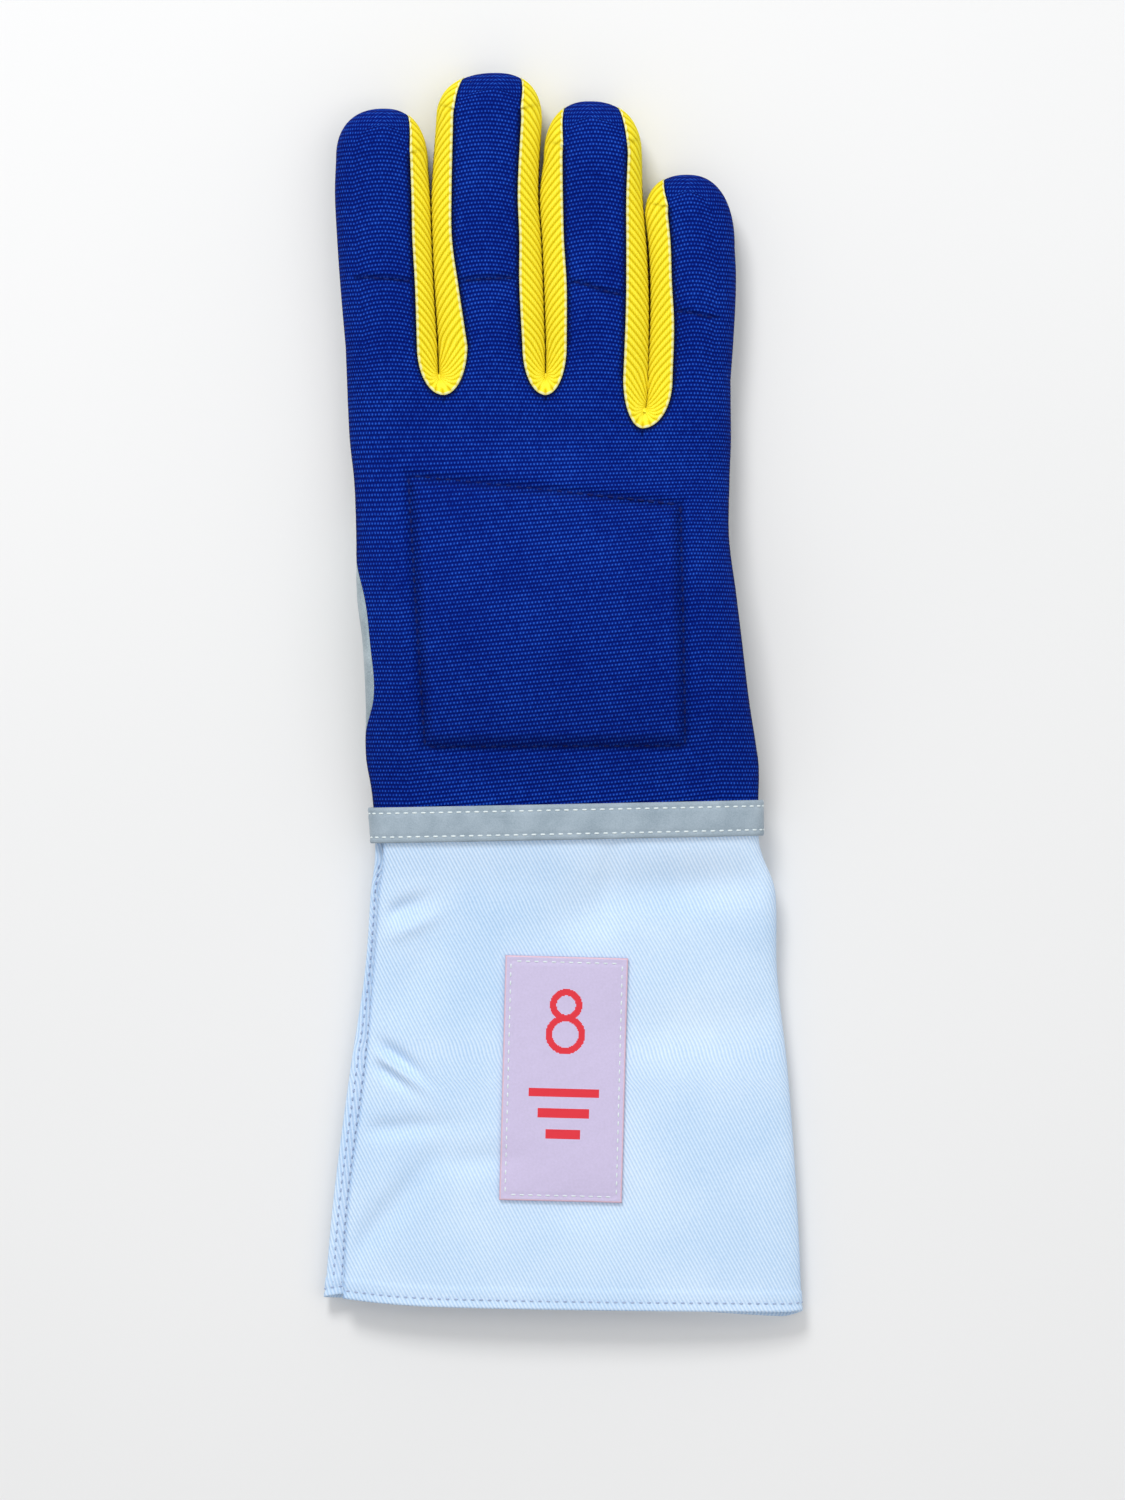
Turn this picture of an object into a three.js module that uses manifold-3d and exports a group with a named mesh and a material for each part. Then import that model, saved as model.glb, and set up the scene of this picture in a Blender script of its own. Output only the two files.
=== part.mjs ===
// A right-hand fencing glove, lying palm down with its thumb folded under the palm.
// X runs from the thumb side to the little finger, Y to the fingertips and Z up. Millimetres.
// The hand is one closed skin, cut along its seams into panels that each get their own wall.

import * as THREE from "three";
import { mergeVertices } from "three/addons/utils/BufferGeometryUtils.js";
import Module from "manifold-3d";

const wasm = await Module();
wasm.setup();

const { lerp, clamp, degToRad } = THREE.MathUtils;

// Driving dimensions of the hand
const HAND_WIDTH = 110;
const PALM_LENGTH = 122;
const LITTLE_DROP = 9.5;
const INDEX_LENGTH = 83.3;
const MIDDLE_LENGTH = 93.5;
const RING_LENGTH = 85.4;
const LITTLE_LENGTH = 73.9;
const HAND_HEIGHT = 33;
const FINGER_HEIGHT = 20;
const WRIST_HEIGHT = 21;
const THUMB_LENGTH = 76;
const THUMB_WIDTH = 31;
const THUMB_THICKNESS = 13;

// Driving dimensions of the cuff
const CUFF_LENGTH = 139;
const CUFF_HEIGHT = 13;
const BAND_WIDTH = 10.2;
const LABEL_WIDTH = 35;
const LABEL_LENGTH = 70;

// Walls and clearances
const KNIT_WALL = 2;
const RIB_WALL = 2;
const SUEDE_WALL = 1.6;
const TWILL_WALL = 1.3;
const BAND_WALL = 1.1;
const LABEL_WALL = 0.8;
const PAD_WALL = 3;
const SEAM_GAP = 0.45;
const SEAM_BEVEL = 0.3;
const LAYER_GAP = 0.5;

// Forms of the sections
const SIDE_RUN = 11;
const FINGER_RUN = 5.5;
const BODY_ROUND = 2.6;
const FINGER_ROUND = 2.2;
const FINGER_EDGE = 0.84;
const HOLLOW_UNDER_BAND = BAND_WALL + LAYER_GAP;
const PAD_RISE = 2.2;
const PAD_EDGE_DIP = 1;
const PAD_EDGE_WIDTH = 3.5;
const PAD_INSET = 0.1;
const PAD_DEPTH = KNIT_WALL + 3 * LAYER_GAP;

// Where one form of section gives way to the next: shares of PALM_LENGTH for the wrist and the
// knuckles, and of CUFF_LENGTH for the cuff. At a crotch the section is mostly a finger's.
const WRIST_SHARE = 0.12;
const KNUCKLES_FROM = 0.6;
const FINGERS_FROM = 0.75;
const FINGER_AT_CROTCH = 0.7;
const CROTCH_TO_FINGER = 1.08;
const CUFF_FLARE_SHARE = 0.3;

// The band draws hand and cuff in by so much on each side, fading out on both sides of it.
const BAND_PINCH = 0.9;
const PINCH_FROM = BAND_WIDTH * 0.8;
const PINCH_TO = BAND_WIDTH * 2;

// A finger's widest point is a share of its height, and its half width is a number of runs.
const FINGER_MIDDLE = FINGER_HEIGHT * 0.47;
const FINGER_HALF_WIDTH = FINGER_RUN * 2.4;

// The strip under the flap turns a little past the flap's edge and is tucked below it.
const STRIP_TURN = 1.35;
const STRIP_TUCKED_BY = 0.66;
const STRIP_DRAWN_IN = 0.35;

// Powers of the thumb's rounded forms: its ends in plan, and its section's sides and height
const THUMB_END_POWER = 3.2;
const THUMB_END_ROUND = 2.6;
const THUMB_SIDE_POWER = 0.75;
const THUMB_HEIGHT_POWER = 0.6;

// Each row is a section of the hand. Along is a share of PALM_LENGTH from the joint with the
// cuff, left and right are shares of HAND_WIDTH from the middle line, middle is the height of
// the widest point and top that of the back, as shares of HAND_HEIGHT, and seam is the angle
// at which the back meets the palm on the thumb side, below the widest point if negative.
const HAND_SECTIONS = [
  { along: 0.0, left: -0.496, right: 0.516, middle: 0.34, top: 0.636, seam: -35 },
  { along: 0.1, left: -0.506, right: 0.502, middle: 0.36, top: 0.68, seam: -35 },
  { along: 0.185, left: -0.512, right: 0.491, middle: 0.42, top: 0.78, seam: -5 },
  { along: 0.29, left: -0.511, right: 0.477, middle: 0.5, top: 0.93, seam: 38 },
  { along: 0.43, left: -0.519, right: 0.458, middle: 0.52, top: 1.0, seam: 38 },
  { along: 0.543, left: -0.534, right: 0.442, middle: 0.5, top: 0.98, seam: 36 },
  { along: 0.676, left: -0.536, right: 0.425, middle: 0.43, top: 0.88, seam: -12 },
  { along: 0.805, left: -0.542, right: 0.427, middle: 0.36, top: 0.78, seam: -35 },
  { along: 0.903, left: -0.554, right: 0.432, middle: 0.32, top: 0.71, seam: -35 },
  { along: 1.0, left: -0.56, right: 0.435, middle: 0.29, top: 0.66, seam: -35 },
];

// The fingers in order from the thumb side. Each row of sections is a share of the finger's
// straight part, from the top of its crotch to where its tip starts to round. Left and right
// are its sides and backLeft and backRight the edges of its back, as shares of HAND_WIDTH.
// So are tip, where its end lies, and tipLeft and tipRight, how far each side of the end rounds.
const FINGERS = [
  {
    name: "index",
    length: INDEX_LENGTH,
    tip: -0.464,
    tipLeft: 0.13,
    tipRight: 0.155,
    sections: [
      { along: 0.0, left: -0.565, right: -0.326, backLeft: -0.515, backRight: -0.378 },
      { along: 0.33, left: -0.579, right: -0.336, backLeft: -0.529, backRight: -0.383 },
      { along: 0.6, left: -0.588, right: -0.341, backLeft: -0.538, backRight: -0.39 },
      { along: 0.82, left: -0.593, right: -0.345, backLeft: -0.543, backRight: -0.392 },
      { along: 1.0, left: -0.59, right: -0.352, backLeft: -0.54, backRight: -0.395 },
    ],
  },
  {
    name: "middle",
    length: MIDDLE_LENGTH,
    tip: -0.173,
    tipLeft: 0.123,
    tipRight: 0.123,
    sections: [
      { along: 0.0, left: -0.324, right: -0.046, backLeft: -0.247, backRight: -0.105 },
      { along: 0.27, left: -0.334, right: -0.051, backLeft: -0.271, backRight: -0.113 },
      { along: 0.47, left: -0.339, right: -0.056, backLeft: -0.287, backRight: -0.113 },
      { along: 0.68, left: -0.341, right: -0.064, backLeft: -0.288, backRight: -0.117 },
      { along: 1.0, left: -0.328, right: -0.056, backLeft: -0.284, backRight: -0.108 },
    ],
  },
  {
    name: "ring",
    length: RING_LENGTH,
    tip: 0.069,
    tipLeft: 0.155,
    tipRight: 0.145,
    sections: [
      { along: 0.0, left: -0.044, right: 0.222, backLeft: 0.01, backRight: 0.156 },
      { along: 0.32, left: -0.049, right: 0.224, backLeft: 0.01, backRight: 0.163 },
      { along: 0.56, left: -0.054, right: 0.219, backLeft: 0.003, backRight: 0.164 },
      { along: 0.81, left: -0.06, right: 0.207, backLeft: 0.0, backRight: 0.164 },
      { along: 1.0, left: -0.049, right: 0.204, backLeft: -0.001, backRight: 0.168 },
    ],
  },
  {
    name: "little",
    length: LITTLE_LENGTH,
    tip: 0.323,
    tipLeft: 0.109,
    tipRight: 0.191,
    sections: [
      { along: 0.0, left: 0.219, right: 0.436, backLeft: 0.284, backRight: 0.386 },
      { along: 0.33, left: 0.226, right: 0.444, backLeft: 0.288, backRight: 0.394 },
      { along: 0.6, left: 0.227, right: 0.449, backLeft: 0.282, backRight: 0.399 },
      { along: 0.82, left: 0.222, right: 0.45, backLeft: 0.279, backRight: 0.4 },
      { along: 1.0, left: 0.214, right: 0.447, backLeft: 0.272, backRight: 0.397 },
    ],
  },
];

// The crotches between the fingers: where the back's edge turns and where the slit between
// the two strips ends. Across is a share of HAND_WIDTH, and drop says by how much of
// LITTLE_DROP the crotch lies nearer the joint.
const CROTCHES = [
  { across: -0.309, slit: -0.32, drop: 0 },
  { across: -0.045, slit: -0.045, drop: 0 },
  { across: 0.206, slit: 0.209, drop: 1 },
];
const CROTCH_LENGTH = 8.6;
const SLIT_ABOVE_CROTCH = 4.4;

// The bands' shared borders at the joint, as shares of HAND_WIDTH
const BORDERS_AT_JOINT = [-0.255, -0.01, 0.245];

// The raised pad on the back of the hand: across is a share of HAND_WIDTH and along of PALM_LENGTH.
const PAD_CORNERS = [
  { across: -0.355, along: 0.187 },
  { across: 0.328, along: 0.187 },
  { across: 0.303, along: 0.75 },
  { across: -0.399, along: 0.818 },
];

// The folded thumb: where its root and its tip lie under the palm
const THUMB_ROOT = { across: -0.375, along: 0.25 };
const THUMB_TIP = { across: 0.08, along: 0.71 };
const THUMB_HOLE_RADIUS = 8;
const THUMB_HOLE_ALONG = 0.2;
const PALM_LIFT_FLAT = 0.42;
const PALM_LIFT_RUN = 0.55;

// Each row is a section of the cuff. Along is a share of CUFF_LENGTH from the joint, left,
// flap and right are shares of HAND_WIDTH: the thumb side, the edge of the upper layer and
// the fold on the other side. Middle and top are heights as shares of CUFF_HEIGHT.
const CUFF_SECTIONS = [
  { along: 0.0, left: -0.496, flap: -0.474, right: 0.516, middle: 0.863, top: 1.615 },
  { along: 0.04, left: -0.496, flap: -0.474, right: 0.52, middle: 0.8, top: 1.54 },
  { along: 0.125, left: -0.5, flap: -0.478, right: 0.552, middle: 0.62, top: 1.34 },
  { along: 0.3, left: -0.516, flap: -0.494, right: 0.558, middle: 0.5, top: 1.15 },
  { along: 0.505, left: -0.555, flap: -0.516, right: 0.586, middle: 0.46, top: 1.06 },
  { along: 0.78, left: -0.6, flap: -0.56, right: 0.611, middle: 0.43, top: 1.0 },
  { along: 1.0, left: -0.624, flap: -0.573, right: 0.623, middle: 0.4, top: 0.95 },
];

// How far each layer of the cuff reaches, as a share of CUFF_LENGTH, going round from the
// upper layer's edge on the thumb side to the strip that lies under it.
const CUFF_ENDS = [
  { round: 0.0, reach: 0.972 },
  { round: 0.12, reach: 0.988 },
  { round: 0.44, reach: 1.0 },
  { round: 0.52, reach: 1.0 },
  { round: 0.57, reach: 1.014 },
  { round: 0.7, reach: 0.99 },
  { round: 1.0, reach: 0.961 },
];

// Broad hollows in the cuff's upper layer: across and along are shares of HAND_WIDTH and
// CUFF_LENGTH, turn is in degrees, and long, wide and deep are shares of CUFF_HEIGHT.
const CUFF_HOLLOWS = [
  { across: 0.36, along: 0.12, turn: 4, long: 1.7, wide: 0.55, deep: 0.13 },
  { across: 0.06, along: 0.18, turn: 30, long: 1.1, wide: 0.6, deep: 0.09 },
  { across: -0.42, along: 0.17, turn: 25, long: 0.9, wide: 0.5, deep: 0.12 },
  { across: -0.41, along: 0.48, turn: -35, long: 1.0, wide: 0.5, deep: 0.15 },
  { across: -0.43, along: 0.62, turn: 5, long: 1.4, wide: 0.45, deep: 0.1 },
  { across: 0.34, along: 0.42, turn: 3, long: 2.2, wide: 0.7, deep: 0.08 },
  { across: -0.46, along: 0.8, turn: 50, long: 1.9, wide: 0.5, deep: 0.12 },
];

// The label on the cuff: its middle, as shares of HAND_WIDTH and CUFF_LENGTH
const LABEL_PLACE = { across: 0.002, along: 0.518 };
const LABEL_TURN = -1.5;

// Rows and columns of the nets
const BODY_ROWS = [0, 0.08, 0.15, 0.187, 0.225, 0.33, 0.45, 0.57, 0.69, 0.775, 0.815, 0.855, 0.93, 1];
const CROTCH_ANGLES = [22.5, 45, 67.5, 90];
const STRAIGHT_ROWS = [0.18, 0.36, 0.54, 0.7, 0.85, 1];
const TIP_ANGLES = [22, 42, 60, 75, 90];
const BACK_COLUMNS = 4;
const SIDE_COLUMNS = 4;
const PALM_COLUMNS = 2;
const UNDER_COLUMNS = 3;
const CUFF_ROWS = 15;
const CUFF_TOP_COLUMNS = 13;
const CUFF_UNDER_COLUMNS = 9;
const CUFF_STRIP_COLUMNS = 3;
const BAND_SPOKES = 36;
const BAND_ROWS = 2;
const LABEL_COLUMNS = 5;
const LABEL_ROWS = 9;
const PAD_STEPS = 7;
const THUMB_STEPS = 12;
const THUMB_SPOKES = 16;
const HOLE_SPOKES = 20;

const SEAM_ANGLE = -35;
const YELLOW_START = 30;
const YELLOW_END = 72;
const CROTCH_ROW = BODY_ROWS.length - 1;
const STRAIGHT_ROW = CROTCH_ROW + CROTCH_ANGLES.length;
const TIP_ROW = STRAIGHT_ROW + STRAIGHT_ROWS.length;
const LAST_ROW = TIP_ROW + TIP_ANGLES.length;

// Reads one column of a table at a share, on a smooth curve through its rows.
function read(table, key, column, at) {
  const last = table.length - 1;
  const clamped = clamp(at, table[0][key], table[last][key]);
  let low = 0;
  while (low < last - 1 && clamped > table[low + 1][key]) low += 1;
  const rowA = table[Math.max(low - 1, 0)];
  const rowB = table[low];
  const rowC = table[low + 1];
  const rowD = table[Math.min(low + 2, last)];
  const span = rowC[key] - rowB[key];
  const t = (clamped - rowB[key]) / span;
  const slopeB = ((rowC[column] - rowA[column]) / (rowC[key] - rowA[key])) * span;
  const slopeC = ((rowD[column] - rowB[column]) / (rowD[key] - rowB[key])) * span;
  const rise = rowC[column] - rowB[column];
  const bend = slopeB - rise;
  const turn = rise - slopeC;
  return rowB[column] + t * rise + t * (1 - t) * (bend * (1 - t) + turn * t);
}

// A rounded rise from 0 at the side to 1 at the middle of a section.
function crown(share, round) {
  const left = 1 - clamp(share, 0, 1);
  return (1 - left ** round) ** (1 / round);
}

function smooth(value, low, high) {
  const t = clamp((value - low) / (high - low), 0, 1);
  return t * t * (3 - 2 * t);
}

function crotchY(index) {
  return PALM_LENGTH - LITTLE_DROP * CROTCHES[index].drop;
}

function fingerBaseY(finger) {
  const onLittle = FINGERS.indexOf(finger) === FINGERS.length - 1;
  return PALM_LENGTH - (onLittle ? LITTLE_DROP : 0);
}

function tipY(finger) {
  return fingerBaseY(finger) + finger.length;
}

function pinch(y) {
  return BAND_PINCH * (1 - smooth(Math.abs(y), PINCH_FROM, PINCH_TO));
}

// The section of the hand below the fingers at a height y over the joint.
function handSection(y) {
  const at = y / PALM_LENGTH;
  const left = read(HAND_SECTIONS, "along", "left", at) * HAND_WIDTH + pinch(y);
  const right = read(HAND_SECTIONS, "along", "right", at) * HAND_WIDTH - pinch(y);
  const joint = 1 - smooth(at, 0, WRIST_SHARE);
  const fingers = smooth(at, KNUCKLES_FROM, 1);
  const tall = lerp(HAND_HEIGHT, WRIST_HEIGHT / HAND_SECTIONS[0].top, joint);
  const height = lerp(tall, (FINGER_HEIGHT * CROTCH_TO_FINGER) / HAND_SECTIONS.at(-1).top, fingers);
  return {
    left,
    right,
    half: (right - left) / 2,
    middle: read(HAND_SECTIONS, "along", "middle", at) * height,
    top: read(HAND_SECTIONS, "along", "top", at) * height,
    seam: read(HAND_SECTIONS, "along", "seam", at),
  };
}

// The pad's raised quadrilateral with its sunk edge, as a height over the plain back.
function padRelief(x, y) {
  let inside = Infinity;
  PAD_CORNERS.forEach((corner, index) => {
    const next = PAD_CORNERS[(index + 1) % PAD_CORNERS.length];
    const x0 = corner.across * HAND_WIDTH;
    const y0 = corner.along * PALM_LENGTH;
    const dx = next.across * HAND_WIDTH - x0;
    const dy = next.along * PALM_LENGTH - y0;
    inside = Math.min(inside, (dx * (y - y0) - dy * (x - x0)) / Math.hypot(dx, dy));
  });
  const raised = PAD_RISE * smooth(inside, 0, PAD_EDGE_WIDTH);
  return raised - PAD_EDGE_DIP * Math.exp(-((inside / PAD_EDGE_WIDTH) ** 2) * 2);
}

function backHeight(x, y) {
  const section = handSection(y);
  const side = Math.min(x - section.left, section.right - x) / section.half;
  const rise = (section.top - section.middle) * crown(side, BODY_ROUND);
  return section.middle + rise + padRelief(x, y);
}

// The thumb's middle line in plan
const thumbRoot = new THREE.Vector2(THUMB_ROOT.across * HAND_WIDTH, THUMB_ROOT.along * PALM_LENGTH);
const thumbAim = new THREE.Vector2(THUMB_TIP.across * HAND_WIDTH, THUMB_TIP.along * PALM_LENGTH)
  .sub(thumbRoot)
  .normalize();

// The underside: flat on the ground, lifted over the folded thumb and inside the band.
function underHeight(x, y) {
  const place = new THREE.Vector2(x, y).sub(thumbRoot);
  const forward = clamp(place.dot(thumbAim), THUMB_WIDTH / 2, THUMB_LENGTH - THUMB_WIDTH / 2);
  const away = place.sub(thumbAim.clone().multiplyScalar(forward)).length() / THUMB_WIDTH;
  const lift = 1 - smooth(away, PALM_LIFT_FLAT, PALM_LIFT_FLAT + PALM_LIFT_RUN);
  const band = HOLLOW_UNDER_BAND * (1 - smooth(Math.abs(y), BAND_WIDTH, 2 * BAND_WIDTH));
  return Math.max(lift * (THUMB_THICKNESS + LAYER_GAP), band);
}

// The two edges of a finger's band at one row: the back's edge, the widest point beyond it,
// and what the section there measures.
function bandEdge(fingerIndex, row, side) {
  const finger = FINGERS[fingerIndex];
  const outer = side < 0 ? fingerIndex === 0 : fingerIndex === FINGERS.length - 1;
  const sideName = side < 0 ? "left" : "right";
  const backName = side < 0 ? "backLeft" : "backRight";
  const crotchIndex = side < 0 ? Math.max(fingerIndex - 1, 0) : Math.min(fingerIndex, CROTCHES.length - 1);
  const crotch = CROTCHES[crotchIndex];
  const baseY = crotchY(crotchIndex);
  const straightY = baseY + CROTCH_LENGTH;
  const tipRound = (side < 0 ? finger.tipLeft : finger.tipRight) * HAND_WIDTH;
  const tipStart = tipY(finger) - tipRound;
  const shareAt = (at, column) => read(finger.sections, "along", column, at) * HAND_WIDTH;

  if (row <= CROTCH_ROW) {
    const share = BODY_ROWS[row];
    const y = share * baseY;
    const section = handSection(y);
    if (outer) {
      const wide = side < 0 ? section.left : section.right;
      const run = lerp(SIDE_RUN, FINGER_RUN, smooth(share, 0.8, 1));
      return { back: [wide - side * run, y], wide: [wide, y], run };
    }
    const across = lerp(BORDERS_AT_JOINT[crotchIndex], crotch.across, share) * HAND_WIDTH;
    const slitY = baseY + SLIT_ABOVE_CROTCH;
    return { back: [across, y], wide: [crotch.slit * HAND_WIDTH, slitY], run: FINGER_RUN };
  }
  if (row <= STRAIGHT_ROW) {
    const angle = degToRad(CROTCH_ANGLES[row - CROTCH_ROW - 1]);
    const forward = 1 - Math.cos(angle);
    if (outer) {
      const y = baseY + CROTCH_LENGTH * forward;
      const atCrotch = side < 0 ? handSection(PALM_LENGTH).left : handSection(PALM_LENGTH).right;
      const wide = lerp(atCrotch, shareAt(0, sideName), forward);
      return { back: [wide - side * FINGER_RUN, y], wide: [wide, y], run: FINGER_RUN };
    }
    const back = lerp(crotch.across * HAND_WIDTH, shareAt(0, backName), Math.sin(angle));
    const wide = lerp(crotch.slit * HAND_WIDTH, shareAt(0, sideName), Math.sin(angle));
    const wideY = lerp(baseY + SLIT_ABOVE_CROTCH, straightY, forward);
    return { back: [back, baseY + CROTCH_LENGTH * forward], wide: [wide, wideY], run: FINGER_RUN };
  }
  if (row <= TIP_ROW) {
    const at = STRAIGHT_ROWS[row - STRAIGHT_ROW - 1];
    const y = lerp(straightY, tipStart, at);
    return { back: [shareAt(at, backName), y], wide: [shareAt(at, sideName), y], run: FINGER_RUN };
  }
  const angle = degToRad(TIP_ANGLES[row - TIP_ROW - 1]);
  const tipX = finger.tip * HAND_WIDTH;
  const backY = tipStart + (tipRound - FINGER_RUN) * Math.sin(angle);
  const wideY = tipStart + tipRound * Math.sin(angle);
  const inward = row === LAST_ROW ? 0 : Math.cos(angle);
  return {
    back: [lerp(tipX, shareAt(1, backName), inward), backY],
    wide: [lerp(tipX, shareAt(1, sideName), inward), wideY],
    run: FINGER_RUN,
  };
}

// How far a row has changed from the hand's section, 0, to a finger's, 1.
function fingerShare(row) {
  if (row >= STRAIGHT_ROW) return 1;
  if (row > CROTCH_ROW) return lerp(FINGER_AT_CROTCH, 1, (row - CROTCH_ROW) / CROTCH_ANGLES.length);
  return FINGER_AT_CROTCH * smooth(BODY_ROWS[row], FINGERS_FROM, 1);
}

// The height of a band's back at a share u across it.
function bandHeight(row, u, x, y) {
  const tip = row > TIP_ROW ? Math.sin(degToRad(TIP_ANGLES[row - TIP_ROW - 1])) : 0;
  const bulge = (1 - Math.abs(2 * u - 1) ** FINGER_ROUND) * (1 - tip ** FINGER_ROUND);
  const thick = (FINGER_HEIGHT - FINGER_MIDDLE) * (FINGER_EDGE + (1 - FINGER_EDGE) * bulge);
  return lerp(backHeight(x, Math.min(y, PALM_LENGTH)), FINGER_MIDDLE + thick, fingerShare(row));
}

// The net of one finger's band: rows from the joint to the tip, columns across its back.
function bandNet(fingerIndex, columns, height) {
  const net = [];
  for (let row = 0; row <= LAST_ROW; row += 1) {
    const left = bandEdge(fingerIndex, row, -1);
    const right = bandEdge(fingerIndex, row, 1);
    const line = [];
    for (let column = 0; column <= columns; column += 1) {
      const u = column / columns;
      const x = lerp(left.back[0], right.back[0], u);
      const y = lerp(left.back[1], right.back[1], u);
      line.push(new THREE.Vector3(x, y, height(row, u, x, y)));
    }
    net.push(line);
  }
  return net;
}

// The stations of the outline, up and down each finger from the joint on the thumb side to
// the joint on the other side.
function outlineStations() {
  const stations = [];
  FINGERS.forEach((finger, fingerIndex) => {
    const first = fingerIndex === 0 ? 0 : CROTCH_ROW + 1;
    for (let row = first; row <= LAST_ROW; row += 1) stations.push({ fingerIndex, row, side: -1 });
    const last = fingerIndex === FINGERS.length - 1 ? 0 : CROTCH_ROW;
    for (let row = LAST_ROW - 1; row >= last; row -= 1) stations.push({ fingerIndex, row, side: 1 });
  });
  return stations;
}

// One point of the skin's side at a station. The angle is 90 at the back's edge, 0 at the
// widest point and -90 where the side meets the ground.
function sidePoint(station, degrees) {
  const { fingerIndex, row, side } = station;
  const edge = bandEdge(fingerIndex, row, side);
  const [backX, backY] = edge.back;
  const share = fingerShare(row);
  const section = handSection(Math.min(backY, PALM_LENGTH));
  const middle = lerp(section.middle, FINGER_MIDDLE, share);
  const backTop = bandHeight(row, side < 0 ? 0 : 1, backX, backY);
  const ground = underHeight(backX, backY);
  const inward = 1 - Math.cos(degToRad(Math.abs(degrees)));
  const x = lerp(edge.wide[0], backX, inward);
  const y = lerp(edge.wide[1], backY, inward);
  if (degrees < 0) return new THREE.Vector3(x, y, lerp(middle, ground, crown(inward, BODY_ROUND)));
  const half = lerp(section.half, FINGER_HALF_WIDTH, share);
  const full = crown(edge.run / half, BODY_ROUND);
  const rise = crown((inward * edge.run) / half, BODY_ROUND) / full;
  return new THREE.Vector3(x, y, lerp(middle, backTop, rise));
}

// The angle at which the back or a strip between two fingers ends on the palm.
function seamAngle(station) {
  const outerLeft = station.fingerIndex === 0 && station.side < 0;
  if (!outerLeft || station.row > CROTCH_ROW) return SEAM_ANGLE;
  return handSection(BODY_ROWS[station.row] * PALM_LENGTH).seam;
}

// The angle at which the back ends and a strip between two fingers begins.
function stripAngle(station) {
  const outer =
    (station.fingerIndex === 0 && station.side < 0) ||
    (station.fingerIndex === FINGERS.length - 1 && station.side > 0);
  if (outer) return seamAngle(station);
  if (station.row <= TIP_ROW) return 90;
  const angle = TIP_ANGLES[station.row - TIP_ROW - 1];
  return lerp(90, SEAM_ANGLE, smooth(angle, YELLOW_START, YELLOW_END));
}

function sideNet(stations, from, to, columns) {
  return stations.map((station) => {
    const line = [];
    for (let column = 0; column <= columns; column += 1) {
      line.push(sidePoint(station, lerp(from(station), to(station), column / columns)));
    }
    return line;
  });
}

// A skin welds nets into one surface, so that panels that meet share their points and normals.
class Skin {
  constructor() {
    this.points = [];
    this.lookup = new Map();
    this.panels = new Map();
  }

  point(vector) {
    const key = [vector.x, vector.y, vector.z].map((value) => Math.round(value * 1000)).join();
    if (!this.lookup.has(key)) {
      this.lookup.set(key, this.points.length);
      this.points.push(vector.clone());
    }
    return this.lookup.get(key);
  }

  // Adds a net to a panel. Its rows and columns turn outwards, or inwards where flipped.
  add(panel, net, flipped = false) {
    if (!this.panels.has(panel)) this.panels.set(panel, []);
    const faces = this.panels.get(panel);
    const push = (a, b, c) => {
      if (a === b || b === c || c === a) return;
      faces.push(flipped ? [a, c, b] : [a, b, c]);
    };
    for (let row = 0; row < net.length - 1; row += 1) {
      for (let column = 0; column < net[row].length - 1; column += 1) {
        const a = this.point(net[row][column]);
        const b = this.point(net[row][column + 1]);
        const c = this.point(net[row + 1][column + 1]);
        const d = this.point(net[row + 1][column]);
        push(a, b, c);
        push(a, c, d);
      }
    }
  }

  normals() {
    const normals = this.points.map(() => new THREE.Vector3());
    const triangle = new THREE.Triangle();
    const normal = new THREE.Vector3();
    for (const faces of this.panels.values()) {
      for (const face of faces) {
        triangle.set(...face.map((index) => this.points[index]));
        triangle.getNormal(normal);
        face.forEach((index, corner) => {
          const at = this.points[index];
          const toNext = this.points[face[(corner + 1) % 3]].clone().sub(at);
          const toLast = this.points[face[(corner + 2) % 3]].clone().sub(at);
          normals[index].addScaledVector(normal, toNext.angleTo(toLast));
        });
      }
    }
    return normals.map((sum) => sum.normalize());
  }

  // Turns a panel into a closed wall, with its edges drawn back by half the seam gap.
  wall(panel, thickness, gap = SEAM_GAP) {
    const faces = this.panels.get(panel);
    const normals = this.normals();
    const edges = new Map();
    const edgeKey = (a, b) => `${a}_${b}`;
    for (const face of faces) {
      face.forEach((index, corner) => edges.set(edgeKey(index, face[(corner + 1) % 3]), face));
    }
    const rim = [];
    const onRim = new Set();
    for (const key of edges.keys()) {
      const [a, b] = key.split("_").map(Number);
      if (edges.has(edgeKey(b, a))) continue;
      rim.push([a, b]);
      onRim.add(a);
      onRim.add(b);
    }
    const pulls = this.rimPulls(rim, normals, onRim);
    const used = [...new Set(faces.flat())];
    const place = new Map(used.map((index, order) => [index, order]));
    const positions = [];
    const level = (depth) => {
      for (const index of used) {
        const point = this.points[index].clone().addScaledVector(normals[index], -depth);
        const bevel = SEAM_BEVEL * (depth / thickness);
        if (pulls.has(index)) point.addScaledVector(pulls.get(index), gap / 2 + bevel);
        positions.push(point.x, point.y, point.z);
      }
    };
    level(0);
    level(thickness);
    const inner = used.length;
    const indices = [];
    for (const [a, b, c] of faces.map((face) => face.map((index) => place.get(index)))) {
      indices.push(a, b, c, a + inner, c + inner, b + inner);
    }
    for (const [a, b] of rim.map((edge) => edge.map((index) => place.get(index)))) {
      indices.push(b, a, a + inner, b, a + inner, b + inner);
    }
    return closedGeometry(positions, indices);
  }

  // The direction in which each point of a rim draws back into its own panel.
  rimPulls(rim, normals, onRim) {
    const pulls = new Map([...onRim].map((index) => [index, new THREE.Vector3()]));
    for (const [a, b] of rim) {
      const along = this.points[b].clone().sub(this.points[a]).normalize();
      for (const index of [a, b]) {
        const inward = new THREE.Vector3().crossVectors(normals[index], along).normalize();
        pulls.get(index).add(inward);
      }
    }
    for (const pull of pulls.values()) pull.normalize();
    return pulls;
  }
}

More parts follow.
